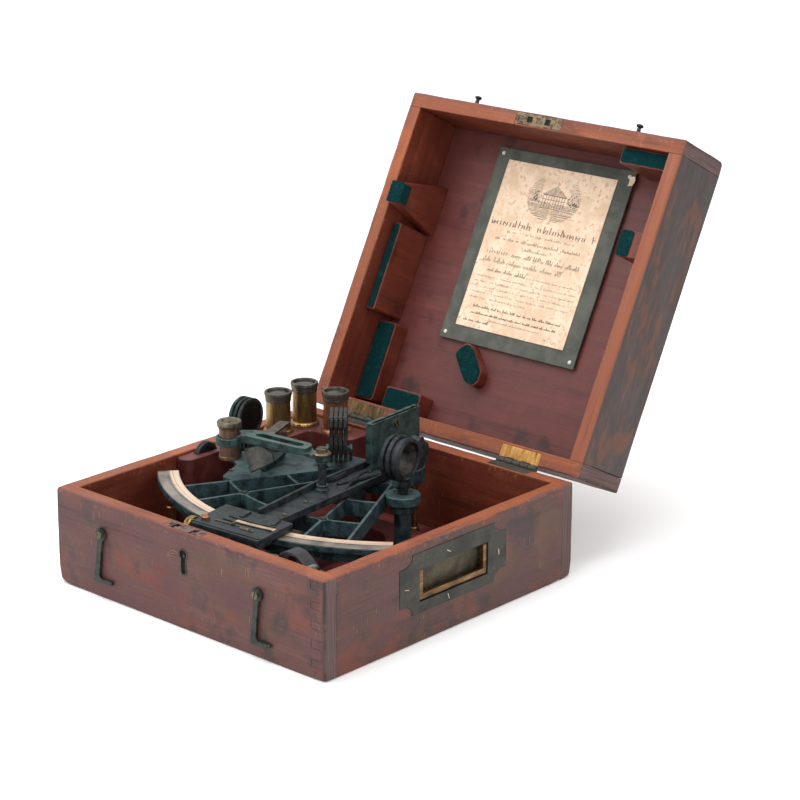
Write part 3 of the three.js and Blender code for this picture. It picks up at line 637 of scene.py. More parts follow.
def metal(name, tones, seed, metallic=0.6, rough=(0.4, 0.7), size=9, pits=0.12, top=None, top_light_share=0.6):
    """An old casting or turned part: tones = (dark, body, bloom).
    Faces that look up can be painted paler in patches, a painted highlight of the light from above."""
    dark, body, bloom = tones
    look = Look(name)
    patches = look.noise(size, seed, detail=5, roughness=0.6)
    fine = look.noise(size / 9, seed + 5, detail=3, roughness=0.6)
    color = look.mix(dark, body, look.fade(patches, 0.36, 0.56))
    color = look.mix(color, bloom, look.math("MULTIPLY", look.fade(fine, 0.5, 0.66),
                                             look.fade(patches, 0.42, 0.6)))
    if top:
        # painted highlight: faces that look up take the paler top colour, broken up by the patches
        up = look.node("ShaderNodeSeparateXYZ",
                       {0: look.node("ShaderNodeTexCoord").outputs["Normal"]}).outputs[2]
        pale_patches = look.math("MULTIPLY", look.fade(up, 0.75, 0.97), look.fade(patches, 0.3, 0.55, 0.45, 1.0))
        color = look.mix(color, top, look.math("MULTIPLY", pale_patches, top_light_share))
    uneven = look.math("ADD", patches, look.math("MULTIPLY", fine, 0.5))
    normal = look.bump(fine, pits, look.bump(patches, pits * 2))
    return look.done(color, look.fade(uneven, 0.45, 1.05, *rough), normal, metallic)


def tarnished(name, tones, seed, rough=(0.25, 0.5), along="Z"):
    """Brass that was lacquered: bright where rubbed, dark streaks where the tarnish ran."""
    dark, body, bright = tones
    look = Look(name)
    runs = look.noise(stretch(along, 22, 4), seed, detail=4, roughness=0.65)
    specks = look.noise(0.9, seed + 2, detail=2)
    turning = look.noise(stretch(along, 0.16, 40), seed + 4, detail=1)
    color = look.mix(dark, body, look.fade(runs, 0.3, 0.5))
    color = look.mix(color, bright, look.fade(runs, 0.5, 0.72))
    color = look.mix(color, dark, look.fade(specks, 0.6, 0.7, 0, 0.7))
    rough_value = look.fade(runs, 0.3, 0.7, *rough[::-1])
    return look.done(color, rough_value, look.bump(turning, 0.03, look.bump(specks, 0.05)), 0.9)


def silver_arc():
    """The inlaid band: grey tarnish outside, bright cream inside, and fine turning marks."""
    look = Look("silver_inlay")
    x, y = look.axis("X"), look.axis("Y")
    radius = look.math("SQRT", look.math("ADD", look.math("MULTIPLY", x, x), look.math("MULTIPLY", y, y)))
    turning = look.node("ShaderNodeTexNoise",
                        {"Vector": look.node("ShaderNodeCombineXYZ", {0: radius}).outputs[0], "Scale": 2.6,
                         "Detail": 2.0}).outputs["Fac"]
    cloud = look.noise(14, 3.0, detail=4)
    grey = look.mix(rgb(110, 103, 98), rgb(158, 148, 139), look.fade(cloud, 0.3, 0.66))
    cream = look.mix(rgb(208, 178, 150), rgb(246, 222, 196), look.fade(turning, 0.3, 0.62))
    color = look.mix(cream, grey, look.fade(radius, INLAY_OUTER - 1.6, INLAY_OUTER - 0.4))
    color = look.mix(color, rgb(104, 92, 80), look.fade(cloud, 0.62, 0.78, 0, 0.7))
    line = look.math("ABSOLUTE", look.math("SUBTRACT", radius, INLAY_OUTER - 3.2))
    color = look.mix(color, rgb(120, 100, 84), look.fade(line, 0.35, 0.1, 0, 0.8))
    return look.done(color, look.fade(cloud, 0.3, 0.7, 0.28, 0.46), look.bump(turning, 0.04), 0.7)


def felt():
    """Glued-down felt with its nap laid this way and that."""
    look = Look("teal_felt")
    nap = look.noise(0.8, 1.0, detail=3, roughness=0.7)
    laid = look.noise(6, 2.0, detail=3)
    color = look.mix(rgb(0, 26, 30), rgb(0, 56, 58), look.fade(nap, 0.34, 0.66))
    color = look.mix(color, rgb(8, 74, 72), look.fade(laid, 0.55, 0.75, 0, 0.5))
    return look.done(color, 1.0, look.bump(nap, 0.6), Specular_IOR_Level=0.0, Sheen_Weight=0.08)


def paper():
    """Cream paper, stained brown in places."""
    look = Look("old_paper")
    fibre = look.noise(1.2, 4.0, detail=3)
    stain = look.noise(16, 6.0, detail=4, roughness=0.6)
    spots = look.noise(3.4, 8.0, detail=2, roughness=0.4)
    color = look.mix(rgb(224, 196, 166), rgb(242, 218, 192), look.fade(stain, 0.34, 0.62))
    color = look.mix(color, rgb(208, 140, 102), look.math("MULTIPLY", look.fade(spots, 0.53, 0.7, 0, 0.7),
                                                         look.fade(stain, 0.36, 0.62, 0.25, 1.0)))
    color = look.mix(color, rgb(214, 170, 132), look.fade(fibre, 0.56, 0.72, 0, 0.5))
    return look.done(color, 0.85, look.bump(fibre, 0.06), Specular_IOR_Level=0.25)


def plain(name, low, high, size, rough, depth, metallic=0.0, **others):
    """A material of two close tones with a fine uneven surface."""
    look = Look(name)
    value = look.noise(size, 5.0, detail=4, roughness=0.6)
    color = look.mix(low, high, look.fade(value, 0.35, 0.65))
    return look.done(color, look.fade(value, 0.3, 0.7, *rough), look.bump(value, depth), metallic, **others)


def mirror_glass():
    """Silvering that has gone at the edges and in spots."""
    look = Look("mirror_glass")
    value = look.noise(5, 2.0, detail=5, roughness=0.65)
    gone = look.fade(value, 0.6, 0.68)
    color = look.mix(rgb(176, 186, 184), rgb(52, 58, 54), gone)
    rough = look.fade(value, 0.58, 0.7, 0.06, 0.5)
    return look.done(color, rough, look.bump(value, 0.02), 0.9)


# ---------------- the looks in use ----------------

OUTSIDE_X = board_wood("mahogany_tray_x", "X", 1.0, RIM)
# the side boards take the darker "shaded" copy of the outside tones: painted shade
OUTSIDE_Y = board_wood("mahogany_tray_y", "Y", 12.0, RIM, "shaded")
LID_X = board_wood("mahogany_lid_x", "X", 23.0, LID_RIM)
LID_Y = board_wood("mahogany_lid_y", "Y", 31.0, LID_RIM)
LID_BURR = burr_wood("mahogany_lid_burr", 5.0)
PANEL = fitting_wood("mahogany_panel", "X", 40.0, "panel", rgb(112, 58, 56), (0.42, 0.56))
FLOOR = fitting_wood("mahogany_floor", "X", 44.0, "block", rgb(120, 50, 40))
BLOCK = fitting_wood("mahogany_block", "X", 50.0)
KEEPER = fitting_wood("mahogany_keeper", "Z", 57.0, "inner", rgb(120, 56, 40))
BRONZE = metal("verdigris_bronze", (rgb(42, 58, 64), rgb(65, 90, 96), rgb(92, 120, 120)), 3.0,
               top=rgb(96, 106, 104), top_light_share=0.35)
GREEN_BRONZE = metal("green_bronze", (rgb(42, 58, 58), rgb(60, 86, 84), rgb(88, 116, 110)), 8.0, size=7,
                     top=rgb(110, 122, 112), top_light_share=0.35)
# The index arm's bronze: its own darker casting, made darker still as painted shade, since the arm lies in
# shade.
SHADED_ARM_BRONZE = metal("grey_bronze_painted_shade", (rgb(32, 38, 41), rgb(50, 57, 60), rgb(84, 88, 87)), 15.0, size=7,
                    pits=0.2, top=rgb(66, 71, 72), top_light_share=0.3)
COLLAR_BRONZE = metal("collar_bronze", (rgb(28, 32, 36), rgb(46, 51, 56), rgb(78, 82, 84)), 17.0, size=7,
                      pits=0.12)
LINING = metal("collar_lining", (rgb(38, 34, 33), rgb(70, 63, 59), rgb(100, 90, 82)), 19.0, size=6,
               pits=0.08)
IRON = metal("hook_metal", (rgb(42, 45, 43), rgb(60, 64, 60), rgb(88, 90, 82)), 21.0, size=5)
PLATE = metal("pan_metal", (rgb(46, 46, 42), rgb(66, 65, 59), rgb(84, 82, 73)), 27.0, size=26,
              rough=(0.45, 0.7))
RECESS = metal("pan_recess", (rgb(62, 56, 46), rgb(88, 80, 64), rgb(112, 102, 82)), 29.0, size=22,
               rough=(0.5, 0.7))
LOCK_METAL = metal("lock_metal", (rgb(58, 44, 42), rgb(118, 92, 86), rgb(150, 124, 114)), 39.0, size=6)
BRASS = tarnished("old_brass", (rgb(92, 76, 48), rgb(142, 114, 72), rgb(196, 162, 108)), 2.0)
RED_BRASS = tarnished("red_brass", (rgb(104, 72, 52), rgb(160, 110, 80), rgb(196, 148, 108)), 6.0)
DULL_BRASS = tarnished("dull_brass", (rgb(60, 57, 52), rgb(94, 88, 79), rgb(126, 116, 102)), 7.0,
                       (0.4, 0.6))
GREY_BRASS = tarnished("grey_brass", (rgb(74, 70, 58), rgb(108, 100, 84), rgb(146, 136, 114)), 9.0,
                       (0.35, 0.6))
TUBE_BRASS = tarnished("tube_brass", (rgb(78, 58, 48), rgb(124, 96, 82), rgb(154, 124, 104)), 11.0,
                       (0.4, 0.6))
CAP_BRASS = tarnished("cap_brass", (rgb(66, 60, 52), rgb(104, 94, 80), rgb(140, 126, 106)), 5.0, (0.4, 0.6))
BAIL_BRASS = tarnished("bail_brass", (rgb(66, 49, 34), rgb(110, 83, 54), rgb(150, 118, 78)), 4.0,
                       (0.32, 0.5), "Y")
GOLD = tarnished("speckled_brass", (rgb(104, 72, 44), rgb(196, 146, 84), rgb(226, 180, 112)), 33.0,
                 (0.35, 0.55), "Y")
# A darker copy of the speckled brass for the left hinge: dirt on it, and painted shade.
SHADED_GOLD = tarnished("speckled_brass_dull", (rgb(62, 50, 40), rgb(118, 96, 68), rgb(166, 134, 88)),
                        34.0, (0.4, 0.6), "Y")
DULL_GOLD = metal("strike_brass", (rgb(74, 62, 50), rgb(124, 106, 84), rgb(174, 150, 114)), 35.0, 0.6,
                  (0.4, 0.6), 3.4)
BLACK = plain("black_lacquer", rgb(20, 20, 24), rgb(40, 38, 46), 4, (0.35, 0.6), 0.1)
BLACK_GLASS = plain("black_glass", rgb(5, 7, 8), rgb(12, 15, 16), 6, (0.3, 0.45), 0.02,
                    Specular_IOR_Level=0.3)
LENS = plain("lens_glass", rgb(30, 34, 35), rgb(52, 57, 57), 9, (0.25, 0.45), 0.02)
SCORED = plain("bared_wood", rgb(112, 76, 62), rgb(166, 128, 106), 4, (0.6, 0.8), 0.1)
PAD = plain("grey_pad", rgb(78, 84, 80), rgb(112, 116, 108), 2, (0.7, 0.9), 0.2)
# painted shade: a flat near-black put in holes and under slots, where only shade would be seen
PAINTED_SHADE = plain("painted_shade_black", rgb(10, 9, 8), rgb(20, 18, 16), 3, (0.8, 0.95), 0.05)
PIN = plain("white_pin", rgb(196, 192, 186), rgb(238, 236, 230), 0.8, (0.3, 0.5), 0.02)
EBONY = fitting_wood("dark_grip", "Y", 63.0, "grip", rgb(96, 44, 30), (0.3, 0.5))
MAT = plain("grey_mat", rgb(70, 72, 66), rgb(92, 94, 86), 18, (0.75, 0.9), 0.05)
INK = plain("faded_ink", rgb(58, 48, 45), rgb(96, 80, 70), 5, (0.8, 0.9), 0.0)
FROST = plain("frosted_screen", rgb(72, 76, 73), rgb(112, 111, 104), 7, (0.5, 0.7), 0.05)
FELT = felt()
PAPER = paper()
SILVER = silver_arc()
MIRROR = mirror_glass()
SILVER_STRIP = plain("silver_strip", rgb(190, 162, 136), rgb(220, 192, 164), 9, (0.3, 0.45), 0.02, 0.7)
SHADE_METAL = metal("shade_metal", (rgb(26, 30, 32), rgb(48, 54, 56), rgb(120, 120, 110)), 45.0, size=6)


# ---------------- fasteners ----------------

def screw(radius, height, slot_angle):
    """A slotted head standing on Z = 0: a rim and two half moons with the slot between them."""
    half = math.degrees(math.asin(SLOT_SHARE))
    base = rod(radius, 0, height * 0.45, 32)
    moons = [slab(arc((0, 0), radius, start + half, start + 180 - half), height * 0.4, height)
             for start in (0, 180)]
    return turned(merged([base, *[eased(moon, height * 0.2) for moon in moons]]), "Z", slot_angle)


def knob(radius, height, knurls, hollow=0.0):
    """A knurled head standing on Z = 0."""
    edge = min(0.4, height * 0.15)
    profile = [(0, 0), (radius - edge, 0), (radius, edge), (radius, height * 0.5), (radius, height - edge),
               (radius - edge, height), (radius * 0.6, height), (radius * 0.55, height - hollow),
               (0, height - hollow)]
    return lathe(profile, knurls * 2, (edge * 0.9, height - edge * 0.9, radius * 0.05))


# ---------------- the tray ----------------

def near_joint(point):
    """On the tray, the edges where two boards meet stay crisp."""
    return abs(abs(point.y) - INNER_Y) < 0.2


def rubbed_corner(body, corner, reach, amount):
    """Wears away one corner of a board."""
    for vertex in body.verts:
        away = (vertex.co - Vector(corner)).length
        if away < reach:
            vertex.co += (vertex.co - Vector(corner)).normalized() * amount * (1 - away / reach) ** 2
    return body


def board(node, place=CASE, ease=1.3, fine=near_joint, step=12, wave=0.3):
    """A board over its CAD node: eased edges, not quite straight any more."""
    body = eased(divided(box(*span(node, place)), step), ease, 3, fine=fine)
    return weathered(body, wave, 1 / 16)


def joint_slits(side):
    """The short hairlines where the side board's pins come through the front board."""
    x = side * (INNER_X - 1)
    slits = []
    for i in range(JOINT_PINS):
        z = 9 + i * JOINT_PITCH
        slits.append(box((x - 0.2, -HALF_Y - 1, z), (x + 0.2, -HALF_Y + 0.7, z + 5.8)))
        for height in (z, z + 5.6):
            slits.append(box((x, -HALF_Y - 1, height), (x + side * 9, -HALF_Y + 0.5, height + 0.2)))
    return slits


def keyhole_outline(grow=0.0):
    """A round head over a narrower foot, as (x, z)."""
    head = arc((0, 58), 3.5 + grow, -55, 235, 18)
    return head + arc((0, 45.5), 2.4 + grow, 180, 360, 8)


def make_tray():
    lock_low, lock_high = span("lock")
    keyhole_x = (lock_low.x + lock_high.x) / 2 + KEYHOLE_SHIFT
    front = board("case_front_board")
    rubbed_corner(front, (-HALF_X, -HALF_Y, 0), 20, 3.4)
    rubbed_corner(front, (HALF_X, -HALF_Y, 0), 14, 2.0)
    rubbed_corner(front, (-HALF_X, -HALF_Y, RIM), 9, 0.8)
    seat = box((lock_low.x - 0.2, lock_low.y - 0.2, RIM - 2),
               (lock_high.x + 0.2, lock_high.y + 0.2, RIM + 2))
    hole = moved(frontal(keyhole_outline(0.3), -HALF_Y - 1, -HALF_Y + 5), keyhole_x)
    front = boolean(front, [seat, hole, *joint_slits(1)])
    piece("front_board", front, CASE, "case", OUTSIDE_X, ["case_front_board"])

    back = rubbed_corner(board("case_back_board"), (HALF_X, HALF_Y, 0), 16, 2.6)
    for side in ("left", "right"):
        low, high = span("hinge_leaf_lower_" + side)
        pocket = box((low.x - 0.2, HALF_Y - 10.2, RIM - 1.8), (high.x + 0.2, HALF_Y + 2, RIM + 2))
        back = boolean(back, [pocket])
    piece("back_board", back, CASE, "case", OUTSIDE_X, ["case_back_board"])
    left = board("case_left_board")
    piece("left_board", left, CASE, "case", OUTSIDE_Y, ["case_left_board"])

    pan_low, pan_high = span("handle_pan")
    right = rubbed_corner(board("case_right_board"), (HALF_X, INNER_Y, 0), 14, 1.0)
    hollow = box((HALF_X - 9, DISH_LOW[0] - 1, DISH_LOW[1] - 1),
                 (HALF_X + 2, DISH_HIGH[0] + 1, DISH_HIGH[1] + 1))
    plate_seat = sideways(pan_outline(pan_low, pan_high, 0.15), HALF_X - 1, HALF_X + 2)
    right = boolean(boolean(right, [hollow]), [plate_seat])
    piece("right_board", right, CASE, "case", OUTSIDE_Y, ["case_right_board"])
    floor = board("case_bottom_board", CASE, 0.8, None)
    piece("bottom_board", floor, CASE, "case", FLOOR, ["case_bottom_board"])
    make_lock(lock_low, lock_high)
    make_keyhole(keyhole_x)
    make_scratches(keyhole_x)
    make_handle(pan_low, pan_high)
    make_bail()


def make_lock(low, high):
    plate = eased(box((low.x, low.y, RIM - 1.8), (high.x, high.y, RIM + 0.05)), 0.3)
    catches_at = (low.x + CATCH_INSETS[0], high.x + CATCH_INSETS[1])
    catches = [box((x - 2.4, low.y + 2.6, RIM - 4), (x + 2.4, high.y - 2.2, RIM + 2)) for x in catches_at]
    mouths = [box((x - 2.2, low.y - 1, RIM - 4), (x + 0.4, low.y + 3.2, RIM + 2)) for x in catches_at]
    plate = boolean(plate, catches + mouths)
    body = box((low.x + 3.4, low.y + 1.6, low.z), (high.x - 3.4, high.y - 1.6, RIM - 1.9))
    heads = [moved(screw(1.9, 0.5, 30 * i), x, (low.y + high.y) / 2, RIM - 0.45)
             for i, x in enumerate((low.x + 4, high.x - 4))]
    piece("lock_plate", [plate, body, *heads], CASE, "case", LOCK_METAL, ["lock"])


def make_keyhole(keyhole_x):
    outside = frontal(keyhole_outline(1.3), -HALF_Y - 0.35, -HALF_Y + 1)
    inside = frontal(keyhole_outline(), -HALF_Y - 2, -HALF_Y + 2)
    bush = moved(eased(boolean(outside, [inside]), 0.15), keyhole_x)
    piece("keyhole_bush", bush, CASE, "case", PLATE)
    # painted shade: a near-black filling behind the keyhole, where the hole is dark
    lining = moved(frontal(keyhole_outline(0.28), -HALF_Y + 1.4, -HALF_Y + 4.9), keyhole_x)
    post = moved(aimed(lathe([(0, 0), (1.1, 0), (1.1, 1.2), (0, 1.5)], 16), (0, -1, 0),
                       (0, -HALF_Y + 1.6, 57)), keyhole_x)
    piece("keyhole_painted_shade", lining, CASE, "case", PAINTED_SHADE)
    piece("keyhole_post", post, CASE, "case", IRON)


def make_scratches(keyhole_x):
    """Where keys missed the keyhole, and a few knocks besides."""
    scored = []
    for drop, bend in ((0, 1.5), (1.4, 2.2), (-1.2, 0.6)):
        points = [(keyhole_x - 5 - 3 * i, -HALF_Y + 0.02, 56 + drop + bend * math.sin(0.9 * i) - 0.5 * i)
                  for i in range(5)]
        scored.append(sweep(points, 0.42, 6, 0.4))
    for x, z, length in ((63, 66, 7), (65.5, 68, 9), (70, 64, 4), (30, 22, 3)):
        scored.append(sweep([(x, -HALF_Y + 0.02, z), (x + 0.5, -HALF_Y + 0.02, z - length)], 0.22, 6, 0.5))
    piece("front_scratches", scored, CASE, "case", SCORED)


def pan_outline(low, high, grow=0.0):
    """The handle plate's outline: a hollow curve between two small shoulders bites off each corner."""
    points = []
    for side_y, side_z, flip in ((1, -1, False), (1, 1, True), (-1, 1, False), (-1, -1, True)):
        y = (high.y if side_y > 0 else low.y) + side_y * grow
        z = (high.z if side_z > 0 else low.z) + side_z * grow
        bite = [(y - side_y * (2.5 + 11 * math.sin(t)), z - side_z * (2 + 6.5 * math.cos(t)))
                for t in [math.radians(9 * i) for i in range(11)]]
        corner = [(y, z - side_z * 8.5), *bite, (y - side_y * 13.5, z)]
        points += corner if flip else corner[::-1]
    return points


def make_handle(low, high):
    face = eased(sideways(pan_outline(low, high), HALF_X - 1, HALF_X + 0.4), 0.25)
    shell = box((low.x + 0.2, DISH_LOW[0] - 0.9, DISH_LOW[1] - 0.9),
                (HALF_X - 0.5, DISH_HIGH[0] + 0.9, DISH_HIGH[1] + 0.9))
    dish = eased(box((HALF_X - 7.4, DISH_LOW[0], DISH_LOW[1]), (HALF_X + 9, DISH_HIGH[0], DISH_HIGH[1])),
                 0.8)
    piece("handle_plate", boolean(face, [dish]), CASE, "case", PLATE, ["handle_pan"])
    piece("handle_dish", boolean(shell, [dish]), CASE, "case", RECESS)
    places = ((-7, 61.6, 60), (48.7, 45, 5), (-52, 44.2, 75), (-7, 26.6, 20))
    heads = [aimed(screw(2.6, 0.3, turn), (1, 0, 0), (HALF_X + 0.2, y, z)) for y, z, turn in places]
    piece("handle_screws", heads, CASE, "case", PLATE)
    worn = [eased(turned(box((-2.4, -0.3, 0.1), (2.4, 0.3, 0.32)), "Z", turn), 0.1, 1)
            for *_, turn in places]
    worn = [aimed(slot, (1, 0, 0), (HALF_X + 0.2, y, z)) for slot, (y, z, _) in zip(worn, places)]
    piece("handle_screw_slots", worn, CASE, "case", SILVER_STRIP)


def make_bail():
    x, top = HALF_X - 2.4, joint_place("bail_swing").z / MM
    y0, y1, z0 = DISH_LOW[0] + 0.9, DISH_HIGH[0] - 0.9, DISH_LOW[1] + 1.1
    shape = rounded([(y0, top + 1.6), (y0, z0), (y1, z0), (y1, top + 1.6)], 0.8, 3)
    inner = rounded([(y0 + 3.5, top + 3), (y0 + 3.5, z0 + 4.3), (y1 - 3.5, z0 + 4.3), (y1 - 3.5, top + 3)],
                    0.9, 3)
    frame_bar = eased(boolean(sideways(shape, x - 1.5, x + 2.0), [sideways(inner, x - 5, x + 5)]), 0.7, 3)
    pins = [aimed(rod(1.0, 0, 1.2, 20), (0, side, 0), (x, start, top))
            for side, start in ((-1, y0 + 0.3), (1, y1 - 0.3))]
    piece("bail", [frame_bar, *pins], CASE, "carry_bail", BAIL_BRASS, ["carry_bail"])


# ---------------- hinges, hooks and keeper ----------------

def hinge_leaf(low, high, top, fifths):
    """One leaf and its knuckles; top is the leaf's lowest and highest Z."""
    length = high.x - low.x
    knuckle_y = joint_place("lid_hinge").y / MM
    leaf = eased(box((low.x, HALF_Y - LEAF_WIDTH, min(top)), (high.x, HALF_Y - 0.2, max(top))), 0.3)
    fifth = length / 5
    knuckles = []
    for i in fifths:
        start = low.x + i * fifth + 0.2
        width = fifth - 0.4
        profile = [(0, 0), (2.1, 0), (2.4, 0.3), (2.4, width - 0.3), (2.1, width), (0, width)]
        knuckles.append(aimed(lathe(profile, 28), (1, 0, 0), (start, knuckle_y, RIM)))
        side = 1 if max(top) > RIM else -1
        knuckles.append(box((start, HALF_Y - 1, RIM + min(side * 0.3, side * 1.8)),
                            (start + width, knuckle_y - 1.2, RIM + max(side * 0.3, side * 1.8))))
    return leaf, knuckles


def make_hinges():
    for side in ("left", "right"):
        low, high = span("hinge_leaf_lower_" + side)
        leaf, knuckles = hinge_leaf(low, high, (RIM - LEAF_THICK, RIM), (0, 2, 4))
        heads = [moved(screw(2.2, 0.35, 40 * i), low.x + step, HALF_Y - 5, RIM - 0.3)
                 for i, step in enumerate(LEAF_SCREWS)]
        piece("lower_hinge_" + side, [leaf, *knuckles, *heads], CASE, "case", PLATE,
              ["hinge_leaf_lower_" + side])
        low, high = span("hinge_leaf_upper_" + side, LID)
        leaf, knuckles = hinge_leaf(low, high, (LID_RIM, LID_RIM + LEAF_THICK), (1, 3))
        # the left leaf takes the darker copy: dirt and painted shade
        shine = GOLD if side == "right" else SHADED_GOLD
        piece("upper_hinge_" + side, leaf, LID, "lid", shine, ["hinge_leaf_upper_" + side])
        piece("upper_knuckles_" + side, knuckles, LID, "lid", PLATE)
        heads = [aimed(screw(2.5, 0.45, 25 + 55 * i), (0, 0, -1),
                       (low.x + step, HALF_Y - 5 - drop, LID_RIM + 0.36))
                 for i, (step, drop) in enumerate(zip(LEAF_SCREWS, (-1, 1.4, -0.6)))]
        piece("upper_hinge_screws_" + side, heads, LID, "lid", shine)


def make_hooks():
    for side, lean in (("left", 8.5), ("right", 6.5)):
        pivot = joint_place("hook_" + side + "_swing") / MM
        eye = arc((0, 0), 5, -62, 242, 26)
        shank = [(-2.5, -4.4), (-2.2, -14), (-2.7, -38.2), (-1.6, -39.4)]
        foot = [(14.8, -36.2), (16.2, -34.8), (15.4, -33.2), (4.6, -34.9), (2.5, -33.2), (2.2, -14),
                (2.5, -4.4)]
        flat = eased(frontal(eye + shank + foot, -HALF_Y - 2.8, -HALF_Y - 0.5), 0.55)
        washer = aimed(ring(1.5, 4.2, 0, 0.7, 32, 0.2), (0, -1, 0), (0, -HALF_Y - 2.7, 0))
        nib = aimed(lathe([(0, 0), (1.3, 0.2), (1.7, 1.1), (1.2, 2.1), (0, 2.5)], 16), (1, 0, 0.15),
                    (14.4, -HALF_Y - 1.6, -34.7))
        hook = turned(merged([flat, washer, nib]), "Y", lean)
        piece("hook_" + side, moved(hook, pivot.x, 0, pivot.z), CASE, "hook_" + side, IRON,
              ["hook_" + side])
        head = aimed(screw(3.0, 1.3, 35 if side == "left" else 75), (0, -1, 0),
                     (pivot.x, -HALF_Y - 3.2, pivot.z))
        piece("hook_screw_" + side, head, CASE, "hook_" + side, GREY_BRASS)
        low, high = span("hook_stud_" + side, LID)
        x, z = (low.x + high.x) / 2, (low.z + high.z) / 2
        profile = [(0, 0), (3.4, 0), (3.4, 0.5), (1.8, 1.2), (1.5, 4.8), (2.4, 5.3), (3, 6.2), (2.6, 7.2),
                   (1.2, 7.8), (0, 7.8)]
        piece("stud_" + side, aimed(lathe(profile, 28), (0, -1, 0), (x, high.y, z)), LID, "lid", BLACK,
              ["hook_stud_" + side])


def make_keeper():
    low, high = span("front_keeper")
    start = low.x + 3.5
    hood = [(start, low.z), (start + 0.8, low.z + 5), (start + 4, low.z + 9.6), (start + 9, low.z + 12.4),
            (start + 14, low.z + 13), (start + 19, low.z + 12.2), (start + 25, low.z + 8.2),
            (start + 31, low.z + 3.4), (start + 31.6, low.z)]
    body = eased(frontal(rounded(hood, 1.2, 4), low.y, high.y), 0.8, 3)
    opening = [(start + 12.6, low.z + 3), (start + 12.6, low.z + 10.4), (start + 18.4, low.z + 10.6),
               (start + 24.4, low.z + 6.4), (start + 24.4, low.z + 3)]
    window = frontal(rounded(opening, 1), low.y - 3, high.y + 3)
    piece("keeper_hood", eased(boolean(body, [window]), 0.3, angle=60), CASE, "front_keeper", BLACK,
          ["front_keeper"])
    pad = eased(box((start + 25.4, low.y + 1.4, low.z + 0.5), (start + 32.2, high.y - 2.4, low.z + 5.6)),
                1.4, 3)
    piece("keeper_pad", pad, CASE, "front_keeper", PAD)
    sill = eased(box((start + 12.8, low.y + 4.4, low.z + 2.6), (start + 24.2, high.y - 4.4, low.z + 4.2)),
                 0.4)
    piece("keeper_spring", sill, CASE, "front_keeper", DULL_GOLD)


# ---------------- blocks inside the tray ----------------

def make_blocks():
    low, high = span("telescope_block")
    shape = rounded([(low.x, low.y), (low.x + 24, low.y), (low.x + 30, low.y + 6), (low.x + 30, low.y + 40),
                     (low.x + 33, low.y + 43), (high.x - 6, low.y + 43), (high.x, low.y + 49),
                     (high.x, high.y), (low.x, high.y)], 3)
    block = eased(slab(shape, low.z, high.z), 1.1, 3)
    for scope in SCOPES:
        middle = (span(scope)[0] + span(scope)[1]) / 2
        block = boolean(block, [moved(lathe([(0, 38), (10.3, 38), (10.3, 73), (11, 73.9), (11, 90),
                                             (0, 90)]), middle.x, middle.y)])
    piece("telescope_rest", block, CASE, "case", BLOCK, ["telescope_block"])

    low, high = span("left_block")
    shape = rounded([(low.x, low.y), (high.x - 5, low.y), (high.x, low.y + 5), (high.x, high.y - 5),
                     (high.x - 5, high.y), (low.x, high.y)], 4)
    block = eased(slab(shape, low.z, high.z), 1.2, 3)
    slot = box((low.x + 2.8, -9.4, 59.6), (low.x + 8.6, 13.4, 90))
    piece("eyepiece_rest", boolean(block, [slot]), CASE, "case", BLOCK, ["left_block"])

    low, high = span("front_block")
    shape = rounded([(low.x, low.y), (high.x, low.y), (high.x, high.y - 6), (high.x - 6, high.y),
                     (low.x + 6, high.y), (low.x, high.y - 6)], 3)
    piece("front_rest", eased(slab(shape, low.z, high.z), 1.2, 3), CASE, "case", BLOCK, ["front_block"])

    low, high = span("handle_cradle")
    block = eased(divided(box(low, high), 20), 1.6, 3)
    channel = [(-28, -56), (24, -56), *arc((-2, 42), 26, 0, 180, 24)]
    block = boolean(block, [slab(channel, low.z - 1, high.z + 5)])
    piece("cradle", weathered(block, 0.25, 1 / 12), CASE, "case", FLOOR, ["handle_cradle"])


# ---------------- spare telescopes and dark eyepiece ----------------

def make_telescopes():
    looks = {"telescope_front": BRASS, "telescope_corner": BRASS, "telescope_back": RED_BRASS}
    for name in SCOPES:
        low, high = span(name)
        x, y, foot, top = (low.x + high.x) / 2, (low.y + high.y) / 2, RIM - 2, high.z
        tube = lathe([(0, low.z), (9.4, low.z), (9.4, foot), (12, foot + 0.1), (12, foot + 0.7),
                      (11.2, foot + 1.3), (12, foot + 2), (11.4, foot + 2.6), (10, foot + 3.2),
                      (9.8, top - 7.5), (9.8, top - 7), (8.4, top - 7), (8.4, top - 7.4), (0, top - 7.4)],
                     64)
        collar = lathe([(0, top - 7.9), (9.9, top - 7.9), (10.4, top - 7.6), (10.4, top - 5.9),
                        (10.1, top - 5.6), (10.1, top - 5.2), (10.7, top - 4.8), (10.7, top - 3),
                        (11.2, top - 2.5), (11.2, top - 0.5), (10.8, top), (9.2, top), (8.7, top - 0.7),
                        (8.6, top - 2.6), (0, top - 2.6)], 64)
        lens = lathe([(0, top - 2.6), (8.5, top - 2.6), (8.4, top - 2.2), (5, top - 1.4), (0, top - 1.1)],
                     48)
        piece(name + "_tube", moved(tube, x, y), CASE, name, looks[name], [name])
        piece(name + "_collar", moved(collar, x, y), CASE, name, DULL_BRASS)
        piece(name + "_lens", moved(lens, x, y), CASE, name, LENS)


def make_eyepiece_cap():
    low, high = span("eyepiece_cap")
    middle = (low + high) / 2
    radius = (high.z - low.z) / 2
    wheel = lathe([(0, -2.0), (6.4, -2.0), (7.2, -2.5), (10.2, -2.5), (radius, -1.8), (radius, -0.5),
                   (10.2, 0), (radius, 0.5), (radius, 1.8), (10.2, 2.5), (7.2, 2.5), (6.4, 1.2), (0, 1.2)],
                  72, (-2.0, 2.0, 0.25))
    piece("eyepiece_wheel", aimed(wheel, (1, 0, 0), middle), CASE, "eyepiece_cap", BLACK, ["eyepiece_cap"])


# ---------------- the lid, drawn closed ----------------

def lid_joint(point):
    """On the lid, those edges and the ones inside it stay crisp."""
    return abs(abs(point.y) - INNER_Y) < 0.6 or (abs(point.x) < HALF_X - 1 and abs(point.y) < HALF_Y - 1)


